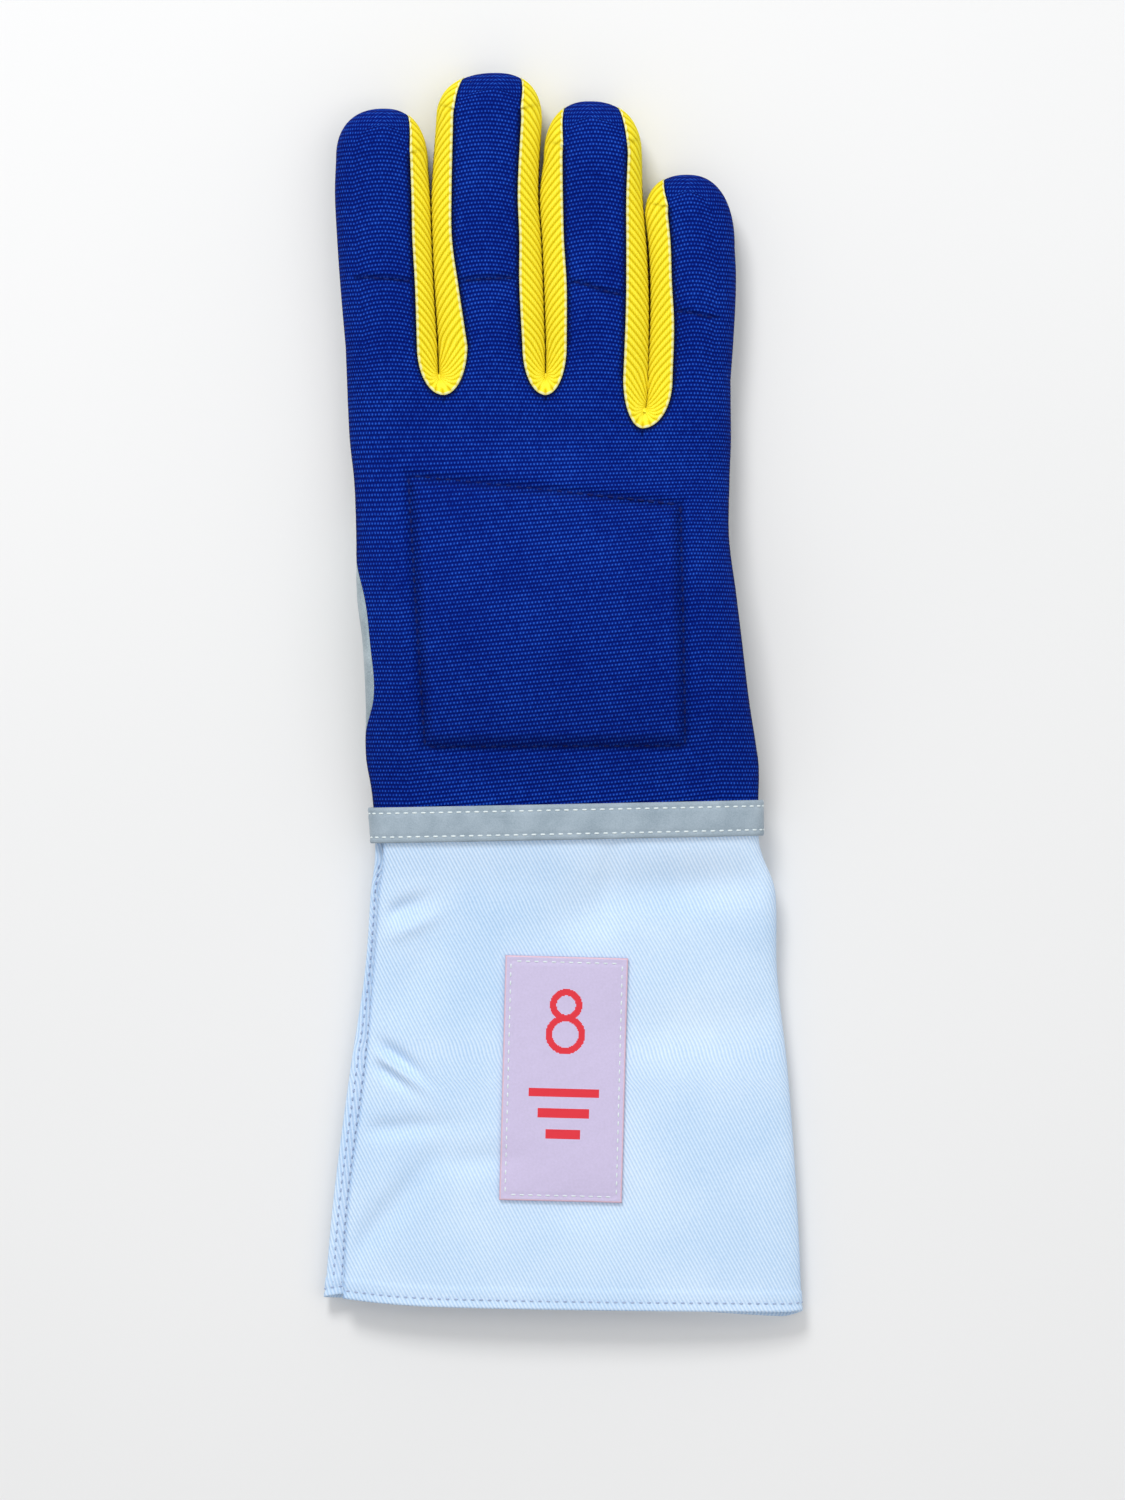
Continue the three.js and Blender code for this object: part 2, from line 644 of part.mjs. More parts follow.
function closedGeometry(positions, indices) {
  const geometry = new THREE.BufferGeometry();
  geometry.setAttribute("position", new THREE.Float32BufferAttribute(positions, 3));
  geometry.setIndex(indices);
  return geometry;
}

function toSolid(geometry) {
  const vertProperties = new Float32Array(geometry.attributes.position.array);
  const triVerts = new Uint32Array(geometry.index.array);
  return new wasm.Manifold(new wasm.Mesh({ numProp: 3, vertProperties, triVerts }));
}

function fromSolid(solid) {
  const { vertProperties, triVerts } = solid.getMesh();
  return closedGeometry([...vertProperties], [...triVerts]);
}

function prism(radius, low, high, x, y) {
  const cylinder = new THREE.CylinderGeometry(radius, radius, high - low, HOLE_SPOKES);
  cylinder.rotateX(Math.PI / 2);
  cylinder.translate(x, y, (low + high) / 2);
  cylinder.deleteAttribute("normal");
  cylinder.deleteAttribute("uv");
  return mergeVertices(cylinder);
}

// A closed surface from a net that is round in its columns and ends in a point at both ends.
function podGeometry(net) {
  const skin = new Skin();
  skin.add("pod", net);
  const positions = skin.points.flatMap((point) => [point.x, point.y, point.z]);
  return closedGeometry(positions, skin.panels.get("pod").flat());
}

// The hand's skin
const stations = outlineStations();
const skin = new Skin();
FINGERS.forEach((finger, fingerIndex) => {
  skin.add("back_panel", bandNet(fingerIndex, BACK_COLUMNS, bandHeight));
  const under = bandNet(fingerIndex, UNDER_COLUMNS, (row, u, x, y) => underHeight(x, y));
  skin.add("palm_panel", under, true);
});
skin.add("back_panel", sideNet(stations, () => 90, stripAngle, SIDE_COLUMNS), true);
skin.add("palm_panel", sideNet(stations, seamAngle, () => -90, PALM_COLUMNS), true);
const FOURCHETTES = ["fourchette_index_middle", "fourchette_middle_ring", "fourchette_ring_little"];
FOURCHETTES.forEach((name, index) => {
  const tipStation = (fingerIndex) =>
    stations.findIndex((station) => station.fingerIndex === fingerIndex && station.row === LAST_ROW);
  const stretch = stations.slice(tipStation(index), tipStation(index + 1) + 1);
  skin.add(name, sideNet(stretch, stripAngle, seamAngle, SIDE_COLUMNS), true);
});

// The thumb's sheath: a flattened pod, hollow, with a hole up into the hand at its root.
function thumbNet(inset) {
  const net = [];
  const halfWidth = THUMB_WIDTH / 2 - inset;
  const halfThick = THUMB_THICKNESS / 2 - inset;
  const across = new THREE.Vector2(-thumbAim.y, thumbAim.x);
  for (let step = 0; step <= THUMB_STEPS; step += 1) {
    const turn = Math.PI * (step / THUMB_STEPS);
    const forward = THUMB_LENGTH / 2 - (THUMB_LENGTH / 2 - inset) * Math.cos(turn);
    const full = Math.max(1 - Math.abs(Math.cos(turn)) ** THUMB_END_POWER, 0) ** (1 / THUMB_END_ROUND);
    const line = [];
    for (let spoke = 0; spoke <= THUMB_SPOKES; spoke += 1) {
      const angle = (2 * Math.PI * (spoke % THUMB_SPOKES)) / THUMB_SPOKES;
      const wide = Math.sign(Math.cos(angle)) * Math.abs(Math.cos(angle)) ** THUMB_SIDE_POWER;
      const tall = Math.sign(Math.sin(angle)) * Math.abs(Math.sin(angle)) ** THUMB_HEIGHT_POWER;
      const middle = thumbRoot.clone().addScaledVector(thumbAim, forward);
      middle.addScaledVector(across, wide * halfWidth * full);
      line.push(new THREE.Vector3(middle.x, middle.y, THUMB_THICKNESS / 2 + tall * halfThick * full));
    }
    net.push(line);
  }
  return net;
}
const hole = thumbRoot.clone().addScaledVector(thumbAim, THUMB_HOLE_ALONG * THUMB_LENGTH);
const thumbHole = toSolid(
  prism(THUMB_HOLE_RADIUS, THUMB_THICKNESS / 2, THUMB_THICKNESS + 4 * SUEDE_WALL, hole.x, hole.y),
);
const thumbShell = toSolid(podGeometry(thumbNet(0))).subtract(toSolid(podGeometry(thumbNet(SUEDE_WALL))));
const thumbGeometry = fromSolid(thumbShell.subtract(thumbHole));
const palmGeometry = fromSolid(toSolid(skin.wall("palm_panel", SUEDE_WALL)).subtract(thumbHole));

// The cuff

function cuffSection(y) {
  const at = -y / CUFF_LENGTH;
  const wrist = WRIST_HEIGHT / (CUFF_SECTIONS[0].top * CUFF_HEIGHT);
  const height = CUFF_HEIGHT * lerp(wrist, 1, smooth(at, 0, CUFF_FLARE_SHARE));
  const value = (column) => read(CUFF_SECTIONS, "along", column, at);
  const left = value("left") * HAND_WIDTH + pinch(y);
  const right = value("right") * HAND_WIDTH - pinch(y);
  return {
    left,
    right,
    flap: value("flap") * HAND_WIDTH + pinch(y),
    half: (right - left) / 2,
    middle: value("middle") * height,
    top: value("top") * height,
    ground: HOLLOW_UNDER_BAND * (1 - smooth(-y, BAND_WIDTH, 2 * BAND_WIDTH)),
  };
}

function cuffHollow(x, y) {
  let depth = 0;
  for (const fold of CUFF_HOLLOWS) {
    const dx = x - fold.across * HAND_WIDTH;
    const dy = y + fold.along * CUFF_LENGTH;
    const turn = degToRad(fold.turn);
    const along = (dx * Math.cos(turn) + dy * Math.sin(turn)) / (fold.long * CUFF_HEIGHT);
    const beside = (dy * Math.cos(turn) - dx * Math.sin(turn)) / (fold.wide * CUFF_HEIGHT);
    depth += fold.deep * CUFF_HEIGHT * Math.exp(-along * along - beside * beside);
  }
  return depth;
}

// A point on the closed section of the wrist or cuff. The turn is 0 at the thumb side, 90 on
// top, 180 at the other side and 270 underneath.
function ringPoint(section, turn) {
  const inward = 1 - Math.abs(Math.cos(degToRad(turn)));
  const x = (section.left + section.right) / 2 - section.half * Math.cos(degToRad(turn));
  const offset = inward * section.half;
  if (turn <= 180) {
    const rise = crown(inward, BODY_ROUND) * (section.top - section.middle);
    return new THREE.Vector2(x, section.middle + rise);
  }
  const fall = crown(offset / SIDE_RUN, BODY_ROUND) * (section.middle - section.ground);
  return new THREE.Vector2(x, section.middle - fall);
}

function flapTurn(section) {
  return THREE.MathUtils.radToDeg(Math.acos(1 - (section.flap - section.left) / section.half));
}

// The cuff is one sheet: from the flap's edge over the top, round the far side, back
// underneath and round the thumb side to a strip that ends below the flap.
function cuffNet() {
  const columns = CUFF_TOP_COLUMNS + CUFF_UNDER_COLUMNS + CUFF_STRIP_COLUMNS;
  const net = [];
  for (let row = 0; row <= CUFF_ROWS; row += 1) {
    const line = [];
    for (let column = 0; column <= columns; column += 1) {
      const reach = read(CUFF_ENDS, "round", "reach", column / columns) * CUFF_LENGTH;
      const y = -lerp(SEAM_GAP, reach, row / CUFF_ROWS);
      const section = cuffSection(y);
      const edge = flapTurn(section);
      const under = column - CUFF_TOP_COLUMNS;
      const strip = under - CUFF_UNDER_COLUMNS;
      let point;
      if (under <= 0) {
        point = ringPoint(section, lerp(edge, 180, column / CUFF_TOP_COLUMNS));
        const soft = smooth(Math.min(point.x - section.flap, section.right - point.x), 0, CUFF_HEIGHT / 2);
        point.y -= cuffHollow(point.x, y) * soft;
      } else if (strip <= 0) {
        point = ringPoint(section, lerp(180, 360, under / CUFF_UNDER_COLUMNS));
      } else {
        const share = strip / CUFF_STRIP_COLUMNS;
        const tucked = (TWILL_WALL + 2 * LAYER_GAP) * smooth(share, 0, STRIP_TUCKED_BY);
        point = ringPoint(section, edge * STRIP_TURN * share);
        point.y -= tucked;
        point.x += tucked * STRIP_DRAWN_IN;
      }
      line.push(new THREE.Vector3(point.x, y, point.y));
    }
    net.push(line);
  }
  return net;
}
const cuff = cuffNet();
const cuffSkin = new Skin();
cuffSkin.add("gauntlet", cuff, true);

// The band is a closed ring over the joint of hand and cuff.
function bandRing() {
  const clearance = LAYER_GAP + BAND_WALL;
  const net = [];
  for (let row = 0; row <= BAND_ROWS; row += 1) {
    const y = lerp(BAND_WIDTH / 2, -BAND_WIDTH / 2, row / BAND_ROWS);
    const section = y > 0 ? handSection(y) : cuffSection(y);
    const ring = {
      left: section.left - clearance,
      right: section.right + clearance,
      half: section.half + clearance,
      middle: section.middle,
      top: section.top + clearance,
      ground: 0,
    };
    const line = [];
    for (let spoke = 0; spoke <= BAND_SPOKES; spoke += 1) {
      const point = ringPoint(ring, (360 * (spoke % BAND_SPOKES)) / BAND_SPOKES);
      line.push(new THREE.Vector3(point.x, y, point.y));
    }
    net.push(line);
  }
  return net;
}
const bandSkin = new Skin();
bandSkin.add("wrist_band", bandRing(), true);

// The height of the cuff's upper layer at a place, between the points of its net.
function cuffTop(x, y) {
  for (let row = 0; row < CUFF_ROWS; row += 1) {
    for (let column = 0; column < CUFF_TOP_COLUMNS; column += 1) {
      const a = cuff[row][column];
      const b = cuff[row][column + 1];
      const d = cuff[row + 1][column];
      const c = cuff[row + 1][column + 1];
      if (y > a.y || y < d.y) continue;
      const down = (y - a.y) / (d.y - a.y);
      const left = lerp(a.x, d.x, down);
      const right = lerp(b.x, c.x, down);
      if (x < left || x > right) continue;
      const across = (x - left) / (right - left);
      return lerp(lerp(a.z, d.z, down), lerp(b.z, c.z, down), across);
    }
  }
  throw new Error("the label doesn't lie on the cuff");
}

function labelNet() {
  const net = [];
  const turn = degToRad(LABEL_TURN);
  for (let row = 0; row <= LABEL_ROWS; row += 1) {
    const line = [];
    for (let column = 0; column <= LABEL_COLUMNS; column += 1) {
      const across = LABEL_WIDTH * (column / LABEL_COLUMNS - 0.5);
      const along = LABEL_LENGTH * (0.5 - row / LABEL_ROWS);
      const x = LABEL_PLACE.across * HAND_WIDTH + across * Math.cos(turn) - along * Math.sin(turn);
      const y = -LABEL_PLACE.along * CUFF_LENGTH + across * Math.sin(turn) + along * Math.cos(turn);
      line.push(new THREE.Vector3(x, y, cuffTop(x, y) + LAYER_GAP + LABEL_WALL));
    }
    net.push(line);
  }
  return net;
}
const labelSkin = new Skin();
labelSkin.add("label", labelNet(), true);

// The pad lies inside the hand against the raised part of its back.
function padNet() {
  const net = [];
  const [a, b, c, d] = PAD_CORNERS;
  for (let row = 0; row <= PAD_STEPS; row += 1) {
    const line = [];
    const down = lerp(1 - PAD_INSET, PAD_INSET, row / PAD_STEPS);
    for (let column = 0; column <= PAD_STEPS; column += 1) {
      const over = lerp(PAD_INSET, 1 - PAD_INSET, column / PAD_STEPS);
      const across = lerp(lerp(a.across, b.across, over), lerp(d.across, c.across, over), down);
      const along = lerp(lerp(a.along, b.along, over), lerp(d.along, c.along, over), down);
      const x = across * HAND_WIDTH;
      const y = along * PALM_LENGTH;
      line.push(new THREE.Vector3(x, y, backHeight(x, y) - PAD_DEPTH));
    }
    net.push(line);
  }
  return net;
}
const padSkin = new Skin();
padSkin.add("back_pad", padNet(), true);

// The materials
const knit = { color: 0x0a2a9c, roughness: 0.9, metalness: 0 };
const ribs = { color: 0xf3dc1c, roughness: 0.85, metalness: 0 };
const suede = { color: 0x9fb0b8, roughness: 0.95, metalness: 0 };
const twill = { color: 0xd5e2f5, roughness: 0.85, metalness: 0 };
const patch = { color: 0xd8d4ec, roughness: 0.7, metalness: 0 };
const felt = { color: 0x23407f, roughness: 0.95, metalness: 0 };

const group = new THREE.Group();

function place(name, geometry, finish) {
  geometry.computeVertexNormals();
  const mesh = new THREE.Mesh(geometry, new THREE.MeshStandardMaterial(finish));
  mesh.name = name;
  group.add(mesh);
}

place("back_panel", skin.wall("back_panel", KNIT_WALL), knit);
place("palm_panel", palmGeometry, suede);
FOURCHETTES.forEach((name) => place(name, skin.wall(name, RIB_WALL), ribs));
place("thumb_sheath", thumbGeometry, suede);
place("back_pad", padSkin.wall("back_pad", PAD_WALL), felt);
place("wrist_band", bandSkin.wall("wrist_band", BAND_WALL), suede);
place("gauntlet", cuffSkin.wall("gauntlet", TWILL_WALL), twill);
place("label", labelSkin.wall("label", LABEL_WALL), patch);

// The origin is at the middle of the ground that the glove covers.
const reach = new THREE.Box3().setFromObject(group);
const middle = reach.getCenter(new THREE.Vector3());
group.position.set(-middle.x, -middle.y, -reach.min.z);

export default group;
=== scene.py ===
"""The looks of a right-hand fencing glove, lying palm down on a pale floor.

The hand is one closed skin whose height over the ground follows a rounded crown. It is cut
along its seams into a knitted back, ribbed strips between the fingers and a suede palm. The
cuff is one sheet of twill, wrapped once round. Lengths are in millimetres until a mesh is
made, and every place is worked out from the CAD frame and a few named sizes.
"""
import logging
import math
from dataclasses import dataclass, field
from enum import Enum
from typing import Sequence

import bpy
import numpy as np
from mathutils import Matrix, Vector


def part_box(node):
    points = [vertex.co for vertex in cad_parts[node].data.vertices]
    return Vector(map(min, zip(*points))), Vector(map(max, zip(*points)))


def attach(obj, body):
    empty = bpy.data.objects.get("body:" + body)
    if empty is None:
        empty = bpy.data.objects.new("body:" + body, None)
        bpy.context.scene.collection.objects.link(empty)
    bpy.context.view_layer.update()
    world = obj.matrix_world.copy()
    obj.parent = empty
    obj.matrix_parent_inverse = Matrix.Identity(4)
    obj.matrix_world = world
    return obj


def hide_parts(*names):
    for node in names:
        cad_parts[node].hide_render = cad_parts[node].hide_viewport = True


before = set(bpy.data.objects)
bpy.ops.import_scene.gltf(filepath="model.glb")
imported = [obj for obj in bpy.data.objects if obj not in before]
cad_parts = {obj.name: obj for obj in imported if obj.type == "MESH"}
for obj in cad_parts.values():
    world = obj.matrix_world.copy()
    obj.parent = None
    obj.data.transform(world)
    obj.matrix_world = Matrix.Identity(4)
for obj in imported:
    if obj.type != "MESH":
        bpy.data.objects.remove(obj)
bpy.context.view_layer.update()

LOG = logging.getLogger("glove")
MM = 0.001
SEED = 7
BODY = "root"

Array = np.ndarray
Socket = bpy.types.NodeSocket
Colour = tuple[float, float, float]


class Side(Enum):
    """The thumb's side and the little finger's side of a band."""

    THUMB = -1
    LITTLE = 1


class Slot(Enum):
    """The finishes, by name."""

    KNIT = "knit"
    SUEDE = "suede"
    RIBS = "ribs"
    PADDING = "padding"
    BAND = "band"
    TWILL = "twill"
    LABEL = "label"


def smooth(value: Array | float, low: float, high: float) -> Array:
    """Eases from 0 at low to 1 at high, as 3t squared less 2t cubed."""
    t = np.clip((np.asarray(value, float) - low) / (high - low), 0.0, 1.0)
    return t * t * (3.0 - 2.0 * t)


def lerp(a: Array | float, b: Array | float, t: Array | float) -> Array:
    """Goes straight from a at 0 to b at 1."""
    return a + (b - a) * t


def crown(share: Array, round_power: float) -> Array:
    """Rises from 0 at a section's side to 1 at its middle, as a superellipse does."""
    left = 1.0 - np.clip(share, 0.0, 1.0)
    return (1.0 - left**round_power) ** (1.0 / round_power)


def powered(value: Array, power: float) -> Array:
    """A power of a value's size, with the value's own sign."""
    return np.sign(value) * np.abs(value) ** power


def bell(distance: Array, width: float) -> Array:
    """One at no distance, falling as exp of minus the square of distance over width."""
    return np.exp(-((distance / width) ** 2))


@dataclass(frozen=True)
class Table:
    """A short table whose rows are stations and whose columns are read smoothly.

    Args:
        along: the stations, rising.
        columns: one tuple of values per named column.
    """

    along: tuple[float, ...]
    columns: dict[str, tuple[float, ...]]

    def read(self, name: str, at: Array | float) -> Array:
        """Reads a column on a Catmull-Rom curve through its rows.

        Args:
            name: the column.
            at: where along the stations.

        Returns:
            The column's value at each place.
        """
        keys = np.array(self.along)
        values = np.array(self.columns[name])
        last = len(keys) - 1
        t = np.clip(np.asarray(at, float), keys[0], keys[last])
        low = np.clip(np.searchsorted(keys, t, side="left") - 1, 0, last - 1)
        before = np.maximum(low - 1, 0)
        after = np.minimum(low + 2, last)
        span = keys[low + 1] - keys[low]
        t = (t - keys[low]) / span
        slope_in = (values[low + 1] - values[before]) / (keys[low + 1] - keys[before]) * span
        slope_out = (values[after] - values[low]) / (keys[after] - keys[low]) * span
        rise = values[low + 1] - values[low]
        bend = (slope_in - rise) * (1.0 - t) + (rise - slope_out) * t
        return values[low] + t * rise + t * (1.0 - t) * bend


# Driving dimensions of the hand, as the CAD frame has them
HAND_WIDTH = 110.0
PALM_LENGTH = 122.0
LITTLE_DROP = 9.5
HAND_HEIGHT = 33.0
FINGER_HEIGHT = 20.0
WRIST_HEIGHT = 21.0
THUMB_LENGTH = 76.0
THUMB_WIDTH = 31.0
THUMB_THICKNESS = 13.0

# Driving dimensions of the cuff
CUFF_LENGTH = 139.0
CUFF_HEIGHT = 13.0
BAND_WIDTH = 10.2
LABEL_WIDTH = 35.0
LABEL_LENGTH = 70.0

# Walls and clearances
KNIT_WALL = 2.0
RIB_WALL = 1.6
SUEDE_WALL = 1.5
TWILL_WALL = 1.2
BAND_WALL = 1.1
LABEL_WALL = 0.7
PAD_WALL = 3.0
LAYER_GAP = 0.5
THREAD_CLEARANCE = 0.35
SEAM_DIP_WIDTH = 0.5

# Forms of the sections
SIDE_RUN = 11.0
FINGER_RUN = 5.5
FINGER_HALF_WIDTH = FINGER_RUN * 2.4
BODY_ROUND = 2.6
FINGER_ROUND = 2.2
FINGER_EDGE = 0.84
FINGER_MIDDLE = FINGER_HEIGHT * 0.47
HOLLOW_UNDER_BAND = BAND_WALL + LAYER_GAP

# Where one form of section gives way to the next: shares of PALM_LENGTH for the wrist and the
# knuckles, and of CUFF_LENGTH for the cuff. At a crotch the section is mostly a finger's.
WRIST_SHARE = 0.12
KNUCKLES_FROM = 0.6
FINGERS_FROM = 0.75
FINGER_AT_CROTCH = 0.7
CROTCH_TO_FINGER = 1.08
CUFF_FLARE_SHARE = 0.3

# The band draws hand and cuff in by so much on each side, fading out on both sides of it.
BAND_PINCH = 0.9
PINCH_FROM = BAND_WIDTH * 0.8
PINCH_TO = BAND_WIDTH * 2.0

# Where the rows of a finger begin: at its crotch, above the crotch's turn, at its tip and at
# the tip's end. Below the first the rows cross the palm, from 0 at the joint with the cuff.
CROTCH_ROW = 1.0
STRAIGHT_ROW = 2.0
TIP_ROW = 3.0
END_ROW = 4.0

# A crotch's round edge is half an ellipse of this length, and the slit ends a little above it.
CROTCH_LENGTH = 14.0
CROTCH_RISE = 0.9
SLIT_ABOVE_CROTCH = 5.2

# The angle at which the palm meets the other cloths, and the turn of a fingertip in degrees at
# which a strip leaves the back's edge, meets the finger's outline and ends at the seam.
SEAM_ANGLE = -35.0
STRIP_LEAVES = 8.0
STRIP_MEETS = 60.0
STRIP_END = 72.0
TIP_POWER = 0.86

# The strip under the cuff's flap turns a little past the flap's edge and is tucked below it.
STRIP_TURN = 1.35
STRIP_TUCKED_BY = 0.66
STRIP_DRAWN_IN = 0.35

# Powers of the thumb's rounded forms: its ends in plan, and its section's sides and height
THUMB_END_POWER = 3.2
THUMB_END_ROUND = 2.6
THUMB_SIDE_POWER = 0.75
THUMB_HEIGHT_POWER = 0.6

# The label's middle, as shares of HAND_WIDTH and CUFF_LENGTH, and its turn in degrees
LABEL_PLACE = (0.002, 0.518)
LABEL_TURN = -1.5

# The frame's own place: the joint of hand and cuff lies at the middle of the band.
BAND_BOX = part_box("wrist_band")
JOINT_Y = (BAND_BOX[0][1] + BAND_BOX[1][1]) / 2.0 / MM
BAND_OFF_MIDDLE = 0.01 * HAND_WIDTH
MIDDLE_X = (BAND_BOX[0][0] + BAND_BOX[1][0]) / 2.0 / MM - BAND_OFF_MIDDLE

# Sections of the hand at shares of PALM_LENGTH: the sides as shares of HAND_WIDTH, the heights
# of the widest point and the back as shares of HAND_HEIGHT, and the seam's angle by the thumb
HAND = Table(
    along=(0.0, 0.1, 0.185, 0.29, 0.43, 0.543, 0.676, 0.805, 0.903, 1.0),
    columns={
        "left": (-0.496, -0.506, -0.512, -0.511, -0.519, -0.534, -0.536, -0.542, -0.554, -0.56),
        "right": (0.516, 0.515, 0.502, 0.483, 0.464, 0.449, 0.431, 0.433, 0.437, 0.437),
        "middle": (0.34, 0.36, 0.42, 0.5, 0.52, 0.5, 0.43, 0.36, 0.32, 0.29),
        "top": (0.636, 0.68, 0.78, 0.93, 1.0, 0.98, 0.88, 0.78, 0.71, 0.66),
        "seam": (-35.0, -35.0, -5.0, 38.0, 38.0, 36.0, -12.0, -35.0, -35.0, -35.0),
    },
)


@dataclass(frozen=True)
class Finger:
    """A finger, with its places across as shares of HAND_WIDTH.

    Args:
        length: from the palm's end to the tip, in millimetres.
        tip: where the tip's end lies.
        tip_left: how far the tip rounds on the thumb's side, in millimetres.
        tip_right: how far the tip rounds on the little finger's side, in millimetres.
        crease: where the stitched crease meets both sides, as shares of the straight part.
        outline: the sides and the back's edges along the straight part.
    """

    length: float
    tip: float
    tip_left: float
    tip_right: float
    crease: tuple[float, float]
    outline: Table


def finger_outline(
    along: Sequence[float],
    left: Sequence[float],
    right: Sequence[float],
    back_left: Sequence[float],
    back_right: Sequence[float],
) -> Table:
    """Gathers a finger's sides and the edges of its back into a table.

    Args:
        along: the stations, as shares of the finger's straight part.
        left: the widest point on the thumb's side.
        right: the widest point on the little finger's side.
        back_left: the back's edge on the thumb's side.
        back_right: the back's edge on the little finger's side.

    Returns:
        The table.
    """
    columns = {
        "left": tuple(left),
        "right": tuple(right),
        "back_left": tuple(back_left),
        "back_right": tuple(back_right),
    }
    return Table(tuple(along), columns)


# The index finger, the middle finger, the ring finger and the little finger
FINGERS = (
    Finger(83.3, -0.464, 14.3, 17.0, (0.36, 0.36), finger_outline(
        along=(0.0, 0.33, 0.6, 0.82, 1.0),
        left=(-0.565, -0.579, -0.588, -0.593, -0.59),
        right=(-0.326, -0.336, -0.341, -0.345, -0.352),
        back_left=(-0.515, -0.529, -0.538, -0.543, -0.54),
        back_right=(-0.378, -0.383, -0.39, -0.392, -0.395),
    )),
    Finger(93.5, -0.173, 13.5, 13.5, (0.284, 0.3), finger_outline(
        along=(0.0, 0.27, 0.47, 0.68, 1.0),
        left=(-0.324, -0.334, -0.339, -0.341, -0.328),
        right=(-0.046, -0.051, -0.056, -0.064, -0.056),
        back_left=(-0.247, -0.271, -0.287, -0.288, -0.284),
        back_right=(-0.105, -0.113, -0.113, -0.117, -0.108),
    )),
    Finger(85.4, 0.069, 17.0, 16.0, (0.338, 0.381), finger_outline(
        along=(0.0, 0.32, 0.56, 0.81, 1.0),
        left=(-0.044, -0.049, -0.054, -0.06, -0.049),
        right=(0.222, 0.224, 0.219, 0.207, 0.204),
        back_left=(0.01, 0.01, 0.003, 0.0, -0.001),
        back_right=(0.156, 0.163, 0.164, 0.164, 0.168),
    )),
    Finger(64.4, 0.323, 12.0, 21.0, (0.404, 0.468), finger_outline(
        along=(0.0, 0.33, 0.6, 0.82, 1.0),
        left=(0.219, 0.226, 0.227, 0.222, 0.214),
        right=(0.436, 0.444, 0.449, 0.45, 0.447),
        back_left=(0.284, 0.288, 0.282, 0.279, 0.272),
        back_right=(0.386, 0.394, 0.399, 0.4, 0.397),
    )),
)
LAST_FINGER = len(FINGERS) - 1


@dataclass(frozen=True)
class Crotch:
    """Where a back's edge turns between two fingers, and where the slit beside it ends.

    Args:
        across: the edge's lowest point, as a share of HAND_WIDTH.
        slit: the slit's end, as a share of HAND_WIDTH.
        drop: how many times LITTLE_DROP the crotch lies lower than the others.
    """

    across: float
    slit: float
    drop: float

    @property
    def y(self) -> float:
        """How far the crotch lies from the joint."""
        return PALM_LENGTH + CROTCH_RISE - LITTLE_DROP * self.drop


CROTCHES = (Crotch(-0.309, -0.32, 0.0), Crotch(-0.045, -0.045, 0.0), Crotch(0.206, 0.209, 1.0))

# Places on the hand as shares of HAND_WIDTH and of PALM_LENGTH: the borders of the fingers'
# bands at the joint, the pad's corners, and the thumb's root and tip
BORDERS_AT_JOINT = (-0.255, -0.01, 0.245)
PAD_CORNERS = ((-0.355, 0.187), (0.315, 0.19), (0.303, 0.75), (-0.399, 0.818))
THUMB_ROOT = (-0.375, 0.25)
THUMB_TIP = (0.08, 0.71)


def on_hand(share: Sequence[float]) -> Array:
    """A place on the hand in millimetres, from its shares across and along."""
    return np.array([share[0] * HAND_WIDTH, share[1] * PALM_LENGTH])


def pad_plan() -> Array:
    """The pad's four corners in plan."""
    return np.array([on_hand(corner) for corner in PAD_CORNERS])


def thumb_line() -> tuple[Array, Array]:
    """The thumb's root in plan and the direction from it to the tip."""
    root = on_hand(THUMB_ROOT)
    aim = on_hand(THUMB_TIP) - root
    return root, aim / np.linalg.norm(aim)


def spread(knots: Sequence[float], steps: Sequence[int]) -> Array:
    """Places from the first knot to the last, with so many even steps from each to the next."""
    spans = zip(knots[:-1], knots[1:], steps)
    parts = [np.linspace(low, high, count + 1)[1:] for low, high, count in spans]
    return np.concatenate([[knots[0]], *parts])


def quarter_turn(row: Array, start: float) -> Array:
    """The angle that goes from 0 to a right angle over the rows from start to one above it."""
    return np.radians(np.clip(row - start, 0.0, 1.0) * 90.0)


def pinch(y: Array) -> Array:
    """How far the band draws the hand and the cuff in at each side."""
    return BAND_PINCH * (1.0 - smooth(np.abs(y), PINCH_FROM, PINCH_TO))


def unit(vectors: Array) -> Array:
    """The same directions with a length of one."""
    return vectors / np.maximum(np.linalg.norm(vectors, axis=-1, keepdims=True), 1e-9)


# Meshes

@dataclass
class Net:
    """A two-parameter surface: a grid of points with a texture place for each.

    Args:
        points: rows by columns by three, in millimetres over the joint.
        places: rows by columns by two, in millimetres along the cloth.
        flipped: true where the grid's own turn points inwards.
        shade: how much painted shade each point has, with the dark line of its seams, from 0 to 1, or
            nothing for an even cloth.
    """

    points: Array
    places: Array
    flipped: bool = False
    shade: Array | None = None


@dataclass(frozen=True)
class Surface:
    """A welded triangle surface: its points and their shades, its faces and their places."""

    points: Array
    shades: Array
    faces: Array
    places: Array


